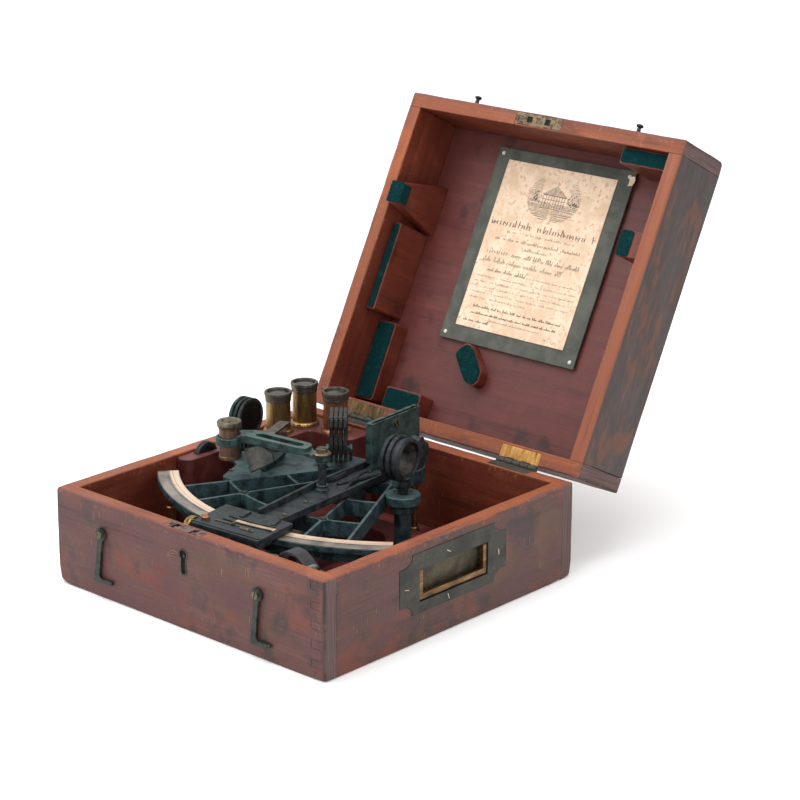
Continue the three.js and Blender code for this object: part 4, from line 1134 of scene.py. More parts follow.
def make_lid():
    front = rubbed_corner(board("lid_front_board", LID, 1.5, lid_joint), (HALF_X, -HALF_Y, LID_TOP), 14,
                          1.6)
    back = board("lid_back_board", LID, 1.5, lid_joint)
    low, high = span("strike_plate", LID)
    front = boolean(front, [box((low.x - 4.2, low.y - 0.2, LID_RIM - 2),
                                (high.x + 4.2, high.y + 0.2, LID_RIM + 1.2))])
    for side in ("left", "right"):
        leaf_low, leaf_high = span("hinge_leaf_upper_" + side, LID)
        back = boolean(back, [box((leaf_low.x - 0.2, HALF_Y - 10.2, LID_RIM - 2),
                                  (leaf_high.x + 0.2, HALF_Y + 2, LID_RIM + 1.5))])
    piece("lid_front", front, LID, "lid", LID_X, ["lid_front_board"])
    piece("lid_back", back, LID, "lid", LID_X, ["lid_back_board"])
    left = board("lid_left_board", LID, 1.5, lid_joint)
    right = board("lid_right_board", LID, 1.5, lid_joint)
    crack = box((HALF_X - 2.5, INNER_Y - 0.7, LID_RIM + 14), (HALF_X + 2, INNER_Y + 0.2, LID_TOP - 1.5))
    crack = weathered(divided(crack, 5), 0.2, 0.12)
    piece("lid_left", left, LID, "lid", LID_Y, ["lid_left_board"])
    piece("lid_right", boolean(right, [crack]), LID, "lid", LID_BURR, ["lid_right_board"])
    panel = board("lid_top_board", LID, 0.4, None, 24, 0.15)
    piece("lid_panel", panel, LID, "lid", PANEL, ["lid_top_board"])
    make_strike(low, high)


def make_strike(low, high):
    """The lock's plate in the lid, with a slot for each catch and three shallow wells."""
    plate = eased(box((low.x - 4, low.y, LID_RIM), (high.x + 4, high.y, LID_RIM + 1.3)), 0.3)
    catches_at = (low.x + CATCH_INSETS[0], high.x + CATCH_INSETS[1])
    wells_at = (low.x + 1, (low.x + high.x) / 2, high.x - 1)
    slots = [box((x - 2.7, low.y + 2.4, 70), (x + 2.7, high.y - 2.4, 90)) for x in catches_at]
    slots += [box((x - 2.2, low.y + 2.6, 70), (x + 2.2, high.y - 2.6, LID_RIM + 0.5)) for x in wells_at]
    piece("strike", boolean(plate, slots), LID, "lid", DULL_GOLD, ["strike_plate"])
    # painted shade: a near-black sheet under the slots and wells, so that they read dark
    floor = box((low.x - 3, low.y + 1.5, LID_RIM + 0.75), (high.x + 3, high.y - 1.5, LID_RIM + 1.15))
    piece("strike_slot_shade", floor, LID, "lid", PAINTED_SHADE)


def keeper(name, shape, low, high, nodes=(), felt_shape=None):
    """A block glued into the lid, with felt on the face that presses on what it holds."""
    body = eased(slab(rounded(shape, 2.5), low, high), 0.8)
    piece(name, body, LID, "lid", KEEPER, nodes)
    pad = eased(divided(slab(rounded(felt_shape or inset(shape, 1.3), 3), low - FELT_DEPTH, low - 0.05),
                        5), 0.5)
    piece(name + "_felt", weathered(pad, 0.35, 0.25), LID, "lid", FELT)


def inset(shape, margin):
    """A convex outline drawn in by a margin towards its middle."""
    middle = Vector((sum(x for x, _ in shape), sum(y for _, y in shape))) / len(shape)
    found = []
    for point in shape:
        away = Vector(point) - middle
        found.append(tuple(middle + Vector([value - math.copysign(min(margin, abs(value)), value)
                                            for value in away])))
    return found


def rectangle(x0, x1, y0, y1):
    """The outline between two limits along X and along Y."""
    return [(x0, y0), (x1, y0), (x1, y1), (x0, y1)]


def make_keepers():
    low, high = span("lid_keeper_wedge", LID)
    wedge = eased(sideways([(low.y, high.z), (low.y + 13, low.z), (high.y - 13, low.z), (high.y, high.z)],
                           low.x, high.x), 0.9)
    piece("keeper_wedge", wedge, LID, "lid", KEEPER, ["lid_keeper_wedge"])
    tip = slab(rounded(rectangle(low.x + 0.2, high.x + 0.6, low.y + 12.4, high.y - 12.4), 2),
               low.z - FELT_DEPTH, low.z - 0.05)
    edge = box((high.x + 0.05, low.y + 13.4, low.z - 0.8), (high.x + 1.1, high.y - 13.4, low.z + 9))
    felt_parts = [eased(divided(tip, 4), 0.6), eased(divided(edge, 4), 0.5)]
    piece("keeper_wedge_felt", weathered(merged(felt_parts), 0.3, 0.3), LID, "lid", FELT)
    for name in ("strip", "tall"):
        low, high = span("lid_keeper_" + name, LID)
        keeper("keeper_" + name, rectangle(low.x, high.x, low.y, high.y), low.z, high.z,
               ["lid_keeper_" + name])
    low, high = span("lid_keeper_post", LID)
    middle = (low + high) / 2
    half_length, half_width = 19, 8.5
    lozenge = [(-half_length, -5), (-14, -half_width), (12, -half_width), (half_length, -2),
               (half_length, 4), (13, half_width), (-16, half_width), (-half_length, 5)]
    turn = Matrix.Rotation(math.radians(47), 2)
    shape = [tuple(turn @ Vector(point) + Vector((middle.x, middle.y))) for point in lozenge]
    keeper("keeper_post", shape, low.z, high.z, ["lid_keeper_post"])
    panel = span("lid_top_board", LID)[0].z
    keeper("keeper_scope", rectangle(-96, -58, 104, INNER_Y - 0.4), 110, panel - 0.3)
    keeper("keeper_corner", rectangle(80, INNER_X - 0.4, 0.4 - INNER_Y, -110), 83, panel - 0.3)
    keeper("keeper_right", rectangle(107, INNER_X - 0.4, -59, -38), 79, panel - 0.3,
           felt_shape=rectangle(107, 119, -59, -38))


# ---------------- the certificate ----------------

def mark(points, width, level):
    """A thin flat stroke along points on the paper."""
    return sweep([(x, y, level) for x, y in points], width / 2, 4, 0.3)


def print_line(x0, x1, y, height, weight, level, gap=0.12):
    """Marks that look like a line of print from afar and spell nothing."""
    marks = []
    x = x0
    while x < x1:
        if RANDOM.random() < gap:
            x += height * 0.9
            continue
        lean = RANDOM.uniform(-0.12, 0.12) * height
        rise = height * RANDOM.choice((0.55, 0.55, 0.6, 1.0))
        marks.append(mark([(x, y), (x + lean, y - rise)], weight, level))
        if RANDOM.random() < 0.55:
            side = height * 0.38
            marks.append(mark([(x, y - rise * RANDOM.choice((0.0, 0.5, 0.95))),
                               (x + side, y - rise * 0.5)], weight * 0.8, level))
        x += height * RANDOM.uniform(0.42, 0.62)
    return marks


def hand_line(x0, x1, y, height, level):
    """Joined-up pen strokes that spell nothing."""
    strokes = []
    x = x0
    while x < x1:
        points = []
        for _ in range(RANDOM.randint(5, 12)):
            tall = RANDOM.choice((0.4, 0.45, 0.5, 1.0))
            step = height * RANDOM.uniform(0.16, 0.3)
            points += [(x, y), (x + step * 0.8, y - height * tall), (x + step, y - height * tall * 0.9)]
            x += step * 1.3
        strokes.append(mark(points, 0.42, level))
        x += height * 0.45
    return strokes


def vignette(x, y, level):
    """A plain pavilion between trees, in hatching."""
    marks = []
    for i in range(46):                                   # ground and sky, as an oval of hatching
        down = -19 + i * 38 / 45
        half = 27 * math.sqrt(max(0, 1 - (down / 20.5) ** 2))
        sky = down < 4
        if sky and abs(down) > 15:
            continue
        start = 13 if sky else 0
        for side in (-1, 1):
            inner = start + RANDOM.uniform(0, 3)
            if half > inner + 2:
                marks.append(mark([(x + side * inner, y + down),
                                   (x + side * half, y + down - RANDOM.uniform(-0.5, 0.5))], 0.24 if sky
                                  else 0.42, level))
    wall = (-11, 11, -2, 9)
    for column in range(9):
        left = x + wall[0] + column * (wall[1] - wall[0]) / 8
        marks.append(mark([(left, y + wall[2]), (left, y + wall[3])], 0.5, level))
    for height in (wall[2], wall[2] + 3.6, wall[3]):
        marks.append(mark([(x + wall[0] - 1, y + height), (x + wall[1] + 1, y + height)], 0.45, level))
    for i in range(9):                                    # the roof, a low pyramid
        shrink = i / 9
        marks.append(mark([(x - 12.5 * (1 - shrink), y - 2.4 - i * 0.95),
                           (x + 12.5 * (1 - shrink), y - 2.4 - i * 0.95)], 0.5, level))
    marks.append(mark([(x, y - 10.4), (x, y - 14.5)], 0.4, level))
    for centre in (-20, -16.5, 17, 20.5, 23):             # trees
        for _ in range(13):
            angle = RANDOM.uniform(0, 2 * math.pi)
            reach = RANDOM.uniform(0.5, 4)
            px, py = x + centre + reach * math.cos(angle), y + 1 + reach * 1.5 * math.sin(angle)
            marks.append(mark([(px, py), (px + RANDOM.uniform(-1, 1), py - RANDOM.uniform(0.8, 1.8))],
                              0.75, level))
    return marks


def make_certificate():
    low, high = span("certificate_mat", LID)
    back = eased(divided(box(low, high), 24), 0.35)
    piece("certificate_mat_board", weathered(back, 0.25, 1 / 40), LID, "lid", MAT, ["certificate_mat"])
    x0, x1, y0, y1 = low.x + 13, high.x - 15, low.y + 9.5, high.y - 13
    face = low.z - 0.55
    sheet = eased(divided(box((x0, y0, face), (x1, y1, low.z - 0.15)), 12), 0.1, 1)
    piece("certificate_paper", sheet, LID, "lid", PAPER)
    level = face - 0.02
    middle = (x0 + x1) / 2
    width = x1 - x0

    def across(share):
        return middle - width * share / 2, middle + width * share / 2

    marks = vignette(middle + 1, y0 + 25, level)
    marks += print_line(*across(0.94), y0 + 55, 6.0, 1.0, level, 0.09)
    marks += print_line(*across(0.62), y0 + 60, 1.9, 0.32, level)
    marks += print_line(*across(0.78), y0 + 67, 2.9, 0.55, level, 0.1)
    marks += print_line(*across(0.2), y0 + 72.5, 2.3, 0.5, level, 0.0)
    marks += print_line(x0 + 4, x0 + 30, y0 + 79.5, 4.6, 0.5, level, 0.1)
    marks += hand_line(x0 + 34, x1 - 22, y0 + 79.5, 4.2, level)
    marks += hand_line(x0 + 6, x1 - 26, y0 + 87, 4.8, level)
    marks += hand_line(x0 + 14, x0 + 48, y0 + 94.5, 3.6, level)
    marks += print_line(x0 + 52, x1 - 5, y0 + 94.5, 1.7, 0.26, level)
    for i in range(5):
        marks += print_line(x0 + 5, x1 - (5 if i < 4 else 50), y0 + 100 + i * 4.6, 1.7, 0.26, level)
    marks += hand_line(x0 + 12, x1 - 12, y0 + 126, 2.6, level)
    marks += hand_line(x0 + 12, x1 - 12, y0 + 131.5, 2.2, level)
    marks += print_line(*across(0.5), y0 + 135.5, 1.5, 0.26, level)
    marks += hand_line(x0 + 6, x0 + 34, y1 - 5, 2.8, level)
    marks += print_line(x1 - 22, x1 - 8, y1 - 3.5, 1.5, 0.26, level)
    piece("certificate_print", marks, LID, "lid", INK)
    corners = [(x, y) for x in (low.x + 5, high.x - 5) for y in (low.y + 5, high.y - 5)]
    pins = [aimed(lathe([(0, 0), (1.7, 0), (1.6, 0.5), (0.9, 1.0), (0, 1.1)], 20), (0, 0, -1),
                  (x, y, low.z - 0.05)) for x, y in corners]
    piece("certificate_pins", pins, LID, "lid", PIN)
    flap = weathered(divided(box((high.x - 3.5, low.y + 5, low.z - 1.6),
                                 (high.x + 1, low.y + 13, low.z - 0.8)), 1.5), 1.2, 0.25)
    piece("certificate_torn_corner", flap, LID, "lid", PAPER)


# ---------------- the sextant, drawn about its pivot ----------------

def polar(radius, angle):
    """A point round the pivot, angle in degrees from -Y towards +X."""
    turn = math.radians(angle)
    return (radius * math.sin(turn), -radius * math.cos(turn))


def band(inner, outer, start, end, low, high, step=1.5):
    """A stretch of a flat ring round the pivot."""
    count = max(2, round((end - start) / step))
    angles = [start + (end - start) * i / count for i in range(count + 1)]
    return slab([polar(outer, angle) for angle in angles] + [polar(inner, angle)
                                                             for angle in reversed(angles)], low, high)


def shade_frame(name):
    """The pin, its direction and the middle of a folding shade, in sextant coordinates."""
    joint = JOINTS[name + "_fold"]
    way = Vector(joint["axis"]).normalized()
    low, high = span(name, SEXTANT)
    return mm(SEXTANT.inverted() @ Vector(joint["pos_m"])), way, (low + high) / 2


def wall_between(start, end, thickness, low, high):
    """An upright wall between two points seen from above."""
    way = Vector(end) - Vector(start)
    body = eased(box((0, -thickness / 2, low), (way.length, thickness / 2, high)), 0.45)
    return moved(turned(body, "Z", heading(way)), start[0], start[1])


def shade_stand(axis_angle, middle, half_span, plate):
    """Two cheeks and the pin between them that a set of shades turns on."""
    parts = [aimed(rod(1.5, -half_span, half_span, 20), (1, 0, 0))]
    for side in (-1, 1):
        cheek = eased(sideways([(-3.4, plate - 1 - middle.z), (3.4, plate - 1 - middle.z), (3.2, 0),
                                (0, 3), (-3.2, 0)], -1.1, 1.1), 0.35)
        parts.append(moved(cheek, side * half_span, 0, 0))
    return moved(turned(merged(parts), "Z", axis_angle), *middle)


def make_frame():
    plate = span("scale_arc", SEXTANT)[0].z
    low_angle, high_angle = LIMB_ENDS
    parts = [eased(band(LIMB_INNER, LIMB_OUTER, low_angle, high_angle, plate - 4.4, plate), 0.4),
             eased(band(175.6, 180.4, low_angle + 1, high_angle - 1, RIB_LOW, plate - 4), 0.4)]
    for mirror in (1, -1):
        for chain in (RIB_OUTER, RIB_INNER):
            points = [(mirror * x, y) for x, y in chain]
            parts += [wall_between(start, end, RIB_THICK, RIB_LOW, plate)
                      for start, end in zip(points, points[1:])]
        start, end = sorted((mirror * 16, mirror * 33))
        parts.append(eased(band(86.4, 88.8, start, end, RIB_LOW, plate), 0.4))
    parts.append(eased(band(132.3, 134.7, -31, 31, RIB_LOW, plate), 0.4))
    parts.append(lathe([(0, RIB_LOW), (21.6, RIB_LOW), (22.2, RIB_LOW + 0.6), (22.2, plate - 0.6),
                        (21.6, plate), (0, plate)], 72))
    parts.append(eased(slab([(0, 0), *[polar(46, -39 + 6 * i) for i in range(14)]], RIB_LOW + 3, plate),
                       0.4))
    parts.append(eased(slab(rounded(HORIZON_WING, 3), plate - 3.4, plate), 0.5))
    parts.append(eased(slab(rounded(SHADE_WING, 3), plate - 7.4, plate), 0.5))
    boss = lathe([(0, 20.6), (7.4, 20.6), (7.4, 24), (6.6, 25), (6.6, 54.4), (8.8, 55), (9.4, 55.6),
                  (9.4, 60), (12.4, 61.4), (13.5, 62.6), (13.5, plate - 0.8), (12.7, plate), (0, plate)],
                 56)
    parts.append(moved(boss, *BOSS))
    for y0, y1 in ((-47.5, -41), (-137, -131)):
        parts.append(eased(box((-9, y0, 24), (3, y1, plate - 6)), 0.8))
    body = boolean(parts[0], parts[1:], "UNION")
    well = moved(rod(4.4, 10, 90, 32), *BOSS)
    body = boolean(body, [well])
    stands = []
    for first, last, out, half_span in (("horizon_shade_1", "horizon_shade_3", 0, 8.2),
                                        ("index_shade_1", "index_shade_4", SHADES_OUT, 9.2)):
        start, way, _ = shade_frame(first)
        middle = (start + shade_frame(last)[0]) / 2 + way * out
        stands.append(shade_stand(heading(way), middle, half_span, plate))
    piece("frame_casting", [body, *stands], SEXTANT, "sextant", BRONZE, ["sextant_frame"])
    make_frame_trim(plate)
    make_scale(plate)
    make_grip()
    make_legs()


def make_frame_trim(plate):
    """Screw heads, the bosses where the ribs cross and the rim round the collar's stem."""
    nodes = [(side * 41.3, -125.7) for side in (-1, 1)]
    heads = [moved(screw(2.3, 0.9, 30 + 60 * i), x, y, plate) for i, (x, y) in enumerate(nodes)]
    heads += [moved(screw(1.9, 0.8, 80 * i), x, y, plate)
              for i, (x, y) in enumerate(((-45, -44), (-104, -70), (-84, -98), (-40, -14)))]
    piece("frame_screws", heads, SEXTANT, "sextant", CAP_BRASS)
    bosses = []
    for x, y in nodes:
        bosses.append(moved(lathe([(0, plate - 9), (4.2, plate - 9), (4.2, plate - 0.6), (3.6, plate),
                                   (0, plate)], 24), x, y))
    rim = hoop([(7.4, plate - 0.2), (12, plate - 0.2), (12, plate + 0.2), (11.4, plate + 0.5),
                (7.4, plate + 0.5)])
    bosses.append(moved(rim, *BOSS))
    piece("frame_bosses", bosses, SEXTANT, "sextant", BRONZE)


def make_scale(plate):
    """The silver band let into the limb, and its divisions."""
    low_angle, high_angle = LIMB_ENDS
    arc_band = band(LIMB_INNER + 0.6, LIMB_OUTER - 0.5, low_angle + 0.15, high_angle - 0.15, plate - 0.1,
                    plate + 0.45, 1)
    outer_lip = band(INLAY_OUTER - 0.25, INLAY_OUTER + 0.25, low_angle + 0.2, high_angle - 0.2,
                     plate + 0.3, plate + 0.6, 1)
    inner_lip = band(INLAY_INNER - 0.5, INLAY_INNER - 0.1, low_angle + 0.2, high_angle - 0.2, plate + 0.3,
                     plate + 0.6, 1)
    piece("limb_inlay", [eased(arc_band, 0.2), outer_lip, inner_lip], SEXTANT, "sextant", SILVER,
          ["scale_arc"])
    ticks = []
    for i in range(LIMB_DIVISIONS + 1):
        angle = low_angle + 3 + (high_angle - low_angle - 6) * i / LIMB_DIVISIONS
        length = 3.0 if i % 15 == 0 else 2.3 if i % 3 == 0 else 1.5
        tick = box((-0.06, -INLAY_OUTER - length + 0.2, plate + 0.44),
                   (0.06, -INLAY_OUTER - 0.3, plate + 0.48))
        ticks.append(turned(tick, "Z", angle))
    piece("limb_divisions", ticks, SEXTANT, "sextant", INK)


def make_grip():
    low, high = span("handle_grip", SEXTANT)
    x, z, length = (low.x + high.x) / 2, (low.z + high.z) / 2, high.y - low.y
    swell = [(0, 0), (8.6, 0), (9.2, 0.8)]
    swell += [(9.2 + 4.8 * math.sin(math.pi * t / 20) ** 0.7, 1.5 + (length - 3) * t / 20)
              for t in range(1, 20)]
    swell += [(9.2, length - 0.8), (8.6, length), (0, length)]
    piece("grip", aimed(lathe(swell, 56), (0, -1, 0), (x, high.y, z)), SEXTANT, "sextant", EBONY,
          ["handle_grip"])


def make_legs():
    for name in ("leg_left", "leg_right", "leg_apex"):
        low, high = span(name, SEXTANT)
        x, y, top = (low.x + high.x) / 2, (low.y + high.y) / 2, high.z
        turning = [(0, low.z), (3.4, low.z), (4.2, low.z + 0.8), (4.2, low.z + 2.4), (3.1, low.z + 3.6),
                   (2.7, low.z + 14), (3.3, top - 12), (4.3, top - 9), (4.3, top - 7.6), (3.4, top - 6.6),
                   (3.9, top - 1.2), (4.5, top - 0.4), (4.5, top), (0, top)]
        piece(name + "_turning", moved(lathe(turning, 40), x, y), SEXTANT, "sextant", BRASS, [name])


def make_collar():
    boss_x, boss_y = BOSS
    low, high = span("rising_piece", SEXTANT)
    height = high.z - 17.7
    way = Vector((0.987, 0.16, 0)).normalized()
    centre = Vector((boss_x, boss_y, height))
    face = hoop([(13, 5.0), (13.8, 6), (15.2, 5.8), (16.6, 4.6), (16.9, 2.6), (16.3, 0.6), (15.4, 0.2),
                 (15.4, -1.2), (17.2, -1.6), (17.8, -2.6), (17.8, -4.2), (17.2, -5.0), (14.8, -5.3),
                 (14.8, -6.4), (13, -6.4)], 72)
    flange = hoop([(13, -6.5), (16.6, -6.5), (17.6, -7.1), (17.6, -9.3), (16.9, -10), (13, -10)], 72,
                  (-9.4, -7.0, 0.35, 17))
    sleeve = hoop([(10.9, 2.2), (13.2, 3.4), (13.2, -9.8), (10.9, -9.8)], 64)
    threads = [hoop([(10.6, z), (11, z + 0.35), (11, z - 0.35)], 64)
               for z in [1 - 1.2 * i for i in range(9)]]
    lining = [aimed(part, way, centre) for part in [sleeve, *threads]]
    head = [aimed(part, way, centre) for part in [face, flange]]
    lobe = [(15.5, -13), (20, -12.5), (26, -9), (31, -1), (30, 5), (24.5, 7.5), (21, 12.5), (15.5, 10)]
    lug = eased(divided(sideways(rounded(lobe, 2.5), -2.6, 3.6), 3.2), 1.0)
    lug = turned(weathered(lug, 1.5, 0.15), "Z", heading(way))
    head.append(moved(lug, *centre))
    for dy, dz in ((22.5, -6), (25, 3)):
        bolt = aimed(screw(2.1, 1.4, 40), (1, 0, 0), (3.5, dy, dz))
        head.append(moved(turned(bolt, "Z", heading(way)), *centre))
    foot = height - 15.5
    stem = lathe([(0, low.z), (3.6, low.z), (4, low.z + 0.4), (4, foot - 7.6), (6.0, foot - 7.2),
                  (6.4, foot - 6.6), (6.4, foot - 3.4), (5.4, foot - 2.4), (5.4, foot - 1.2), (7.4, foot),
                  (9.4, foot + 1.8), (9, foot + 3.6), (0, foot + 3.6)], 40)
    head.append(moved(stem, boss_x, boss_y))
    bolt = aimed(knob(3.2, 3.0, 14), (0.45, -1, 0), (boss_x - 1.5, boss_y - 5, foot - 3))
    piece("collar", head, SEXTANT, "rising_piece", COLLAR_BRONZE, ["rising_piece"])
    piece("collar_lining", lining, SEXTANT, "rising_piece", LINING)
    piece("collar_bolt", bolt, SEXTANT, "rising_piece", GREEN_BRONZE)


def make_horizon_shades():
    for i in (1, 2, 3):
        name = "horizon_shade_" + str(i)
        pin, way, middle = shade_frame(name)
        centre = Vector((middle.x, middle.y, SHADE_HEIGHT))
        rim = hoop([(12.6, -0.9), (13.2, -1.3), (15.0, -1.3), (15.5, -0.9), (15.5, -0.35), (15.1, 0),
                    (15.5, 0.35), (15.5, 0.9), (15.0, 1.3), (13.2, 1.3), (12.6, 0.9)], 72)
        glass = rod(12.8, -0.7, 0.7, 64)
        lug = [(-3.4, 14), (-2.6, 6), (-3.4, 0), *arc((0, 0), 3.4, 180, 360, 12), (3.4, 0), (2.6, 6),
               (3.4, 14)]
        tail = eased(sideways(lug, -1.25, 1.25), 0.25)
        tail = moved(turned(tail, "Z", heading(way)), middle.x, middle.y, pin.z)
        rim_metal = GREEN_BRONZE if i == 1 else SHADE_METAL
        piece(name + "_rim", [aimed(rim, way, centre), tail], SEXTANT, name, rim_metal, [name])
        piece(name + "_glass", aimed(glass, way, centre), SEXTANT, name, BLACK_GLASS)


def make_index_shades():
    for i in (1, 2, 3, 4):
        name = "index_shade_" + str(i)
        way = shade_frame(name)[1]
        turn = Matrix.Rotation(math.atan2(way.y, way.x) + math.pi, 4, "Z")
        local = SEXTANT @ Matrix.Translation(Vector(index_pin(i)) * MM) @ turn
        outer = rounded([(-30, -2.5), (-30, 33.5), (2, 33.5), (2, -2.5)], 2.5)
        window = rounded([(-27, 3), (-27, 30.5), (-4, 30.5), (-4, 3)], 2)
        plate = eased(boolean(sideways(outer, -1.25, 1.25), [sideways(window, -5, 5)]), 0.3)
        cap = moved(aimed(lathe([(0, -1.6), (1.6, -1.6), (1.9, -1.2), (1.9, 1.2), (1.6, 1.6), (0, 1.6)],
                                20), (1, 0, 0)), 0, -27, 32.6)
        piece(name + "_plate", [plate, cap], local, name, SHADE_METAL, [name])
        glass = sideways(rounded([(-27.4, 2.6), (-27.4, 30.9), (-3.6, 30.9), (-3.6, 2.6)], 2), -0.8, 0.8)
        piece(name + "_glass", glass, local, name, BLACK_GLASS)


def index_pin(number):
    """Where shade number 1 to 4 sits along its pin, from its CAD node."""
    joint = JOINTS["index_shade_%d_fold" % number]
    way = Vector(joint["axis"]).normalized()
    pin = mm(SEXTANT.inverted() @ Vector(joint["pos_m"]))
    corners = [mm(SEXTANT.inverted() @ vertex.co) - pin
               for vertex in frame["nodes"]["index_shade_%d" % number].data.vertices]
    along = [corner.dot(way) for corner in corners]
    return pin + way * ((min(along) + max(along)) / 2 + SHADES_OUT)


def make_horizon_mirror():
    x, y, turn = HORIZON_MIRROR
    place = SEXTANT @ Matrix.Translation(Vector((x, y, 0)) * MM) @ Matrix.Rotation(math.radians(turn), 4,
                                                                                   "Z")
    low, high = span("horizon_mirror_frame", place)
    back = sideways(rounded([(low.y, low.z + 0.1), (low.y, high.z), (high.y, high.z),
                             (high.y, low.z + 0.1)], 3), -2, 1.9)
    foot = box((low.x, -12, low.z + 0.02), (2, 12, low.z + 3))
    ears = [box((1.6, y - 1.6, low.z + 4), (5.4, y + 1.6, low.z + 6.2)) for y in (-12, 12)]
    screws = [aimed(screw(2, 1.1, turn), (-1, 0, 0), (-2, y, low.z + 18))
              for y, turn in ((-11, 20), (11, 70))]
    screws += [moved(screw(2.2, 1.2, 15), -4.6, y, low.z + 3) for y in (-8, 8)]
    body = [eased(part, 0.35) for part in [back, foot, *ears]]
    piece("horizon_mirror_back", body, place, "sextant", GREEN_BRONZE, ["horizon_mirror_frame"])
    cover = eased(box((low.x + 4.2, low.y + 0.2, high.z - 1.4), (6.4, high.y - 0.2, high.z + 0.6)), 0.5)
    piece("horizon_mirror_cover", cover, place, "sextant", DULL_BRASS)
    piece("horizon_mirror_screws", screws, place, "sextant", GREY_BRASS)
    low, high = span("horizon_mirror_glass", place)
    piece("horizon_mirror", eased(box(low, high), 0.4), place, "sextant", MIRROR, ["horizon_mirror_glass"])


# ---------------- the index arm, drawn pointing to -Y ----------------

def make_index_arm():
    top = ARM_TOP
    web = [(-14, -14), (-11.2, -40), (-9.5, -88), (-8, -165), (20, -165), (18.5, -36), (19, -14)]
    fin = [(-8.7, -30), (-9.5, -88), (-3.4, -163), (-0.8, -163), (-6.4, -88), (-5.6, -30)]
    flange = [(15.6, -34), (17.2, -163), (19.8, -163), (18.2, -34)]
    plate = [(-30, -206.5), (35, -207), (31.5, -163.5), (-34, -162.5)]
    lip = [(-30, -206.5), (35, -207), (33.6, -190), (-31.3, -190)]
    hub = [(0, 52), (11, 52), (11, RIB_LOW - 0.4), (6.7, RIB_LOW - 0.4), (6.7, 69.9), (21, 69.9),
           (21.6, 70.5), (21.6, 74.2), (20.8, 75), (0, 75)]
    post = [(0, 73), (5.2, 73), (5.6, 73.6), (5.6, 75), (4.4, 76), (3.3, 77), (3.3, 97.6), (2.4, 97.6),
            (2.4, 101.4), (4, 101.4), (4, 104), (0, 104)]
    parts = [lathe(hub, 72), eased(slab(rounded(fin, 0.8), WEB_HIGH - 1, 79), 0.5),
             eased(slab(flange, WEB_HIGH - 1, 76.4), 0.5),
             eased(slab(rounded(plate, 1.5), 70.5, top), 0.6), eased(slab(lip, 68.5, 71), 0.4),
             moved(lathe(post, 40), *POST_AT)]
    for path, tall in (([(-7.6, -80), (-5, -70), (-5.4, -58), (-8.6, -46), (-9.8, -34), (-8, -24)], 4.6),
                       ([(17, -84), (11, -74), (9, -62), (12, -50), (16.4, -40), (15, -24)], 3.6),
                       ([(2, -76), (5, -66), (3, -54), (0, -44), (2, -34)], 2.2)):
        strip = sweep([(x, y, WEB_HIGH + tall / 2 - 0.5) for x, y in path], 1.3, 8)
        for vertex in strip.verts:
            vertex.co.z = WEB_HIGH - 0.5 + (vertex.co.z - WEB_HIGH - tall / 2 + 1.8) * tall / 2.6
        parts.append(strip)
    body = boolean(eased(slab(rounded(web, 1), WEB_LOW, WEB_HIGH), 0.5), parts, "UNION")
    piece("arm_casting", body, ARM, "index_arm", SHADED_ARM_BRONZE, ["index_arm"])


def make_vernier():
    """The vernier's inlay with its divisions, the rails round it and the clamp's spring."""
    top = ARM_TOP
    strip = band(182.6, 187.2, -1.4, 9.4, top - 0.3, top + 0.3, 0.8)
    rails = [band(180.8, 182.2, -4.6, 9, top - 0.5, top + 1.1, 0.8),
             band(187.6, 188.8, -4.6, 9, top - 0.5, top + 0.9, 0.8)]
    rails.append(slab(rounded([(-31, -204.5), (33.4, -205), (33, -202.6), (-31.2, -202.2)], 0.6),
                      top - 0.5, top + 0.8))
    rails.append(slab(rounded([(-12, -166), (-8, -178), (-4.4, -178), (-6, -166)], 1), top - 0.5,
                      top + 1.4))
    rails.append(slab(rounded([(17, -166), (22, -178), (25.4, -178), (22, -166)], 1), top - 0.5, top + 1.4))
    piece("arm_rails", [eased(part, 0.3) for part in rails], ARM, "index_arm", SHADED_ARM_BRONZE)
    marks = [turned(box((-0.05, -187, top + 0.29), (0.05, -186 if i % 5 else -185.2, top + 0.32)), "Z",
                    -0.8 + i * 0.165) for i in range(60)]
    piece("vernier_inlay", eased(strip, 0.15), ARM, "index_arm", SILVER_STRIP)
    piece("vernier_divisions", marks, ARM, "index_arm", INK)
    spring = [(-18, -194.2), (-6, -193.4), (7, -193.6), (8, -196.4), (20, -196.6), (20, -193.2),
              (8, -192.4), (-6, -191.6), (-18, -192.8)]
    spring = slab(rounded(spring, 0.6, 3), top + 0.1, top + 0.8)
    heads = [moved(screw(1.5, 1.3, 50), -0.4, -192.6, top + 0.7),
             moved(screw(1.3, 0.9, 10), 17, -194.8, top + 0.7)]
    piece("clamp_spring", [eased(spring, 0.15), *heads], ARM, "index_arm", GREY_BRASS)


def make_clamp():
    low, high = span("clamp_screw", ARM)
    middle = (low + high) / 2
    profile = [(0, low.z), (3.3, low.z), (3.4, low.z + 0.4), (3.4, low.z + 2.2), (2.6, low.z + 2.6),
               (2.3, high.z - 0.6), (1.8, high.z), (0, high.z)]
    piece("clamp_head", moved(lathe(profile, 40, (low.z + 0.3, low.z + 2.3, 0.18)), middle.x, middle.y),
          ARM, "clamp_screw", RED_BRASS, ["clamp_screw"])


def make_tangent_screw():
    low, high = span("tangent_screw", ARM)
    y, z = (low.y + high.y) / 2, (low.z + high.z) / 2
    wheel = knob(8, 5.2, 40, 0.8)
    grooves = [hoop([(1.3, 6 + 0.9 * i), (1.75, 6.3 + 0.9 * i), (1.3, 6.6 + 0.9 * i)], 20)
               for i in range(30)]
    shaft = lathe([(0, 5), (3.4, 5), (3.4, 5.8), (1.45, 6), (1.45, high.x - low.x), (0, high.x - low.x)],
                  24)
    piece("tangent_head", [aimed(part, (1, 0, 0), (low.x, y, z)) for part in [wheel, shaft, *grooves]],
          ARM, "tangent_screw", BRASS, ["tangent_screw"])


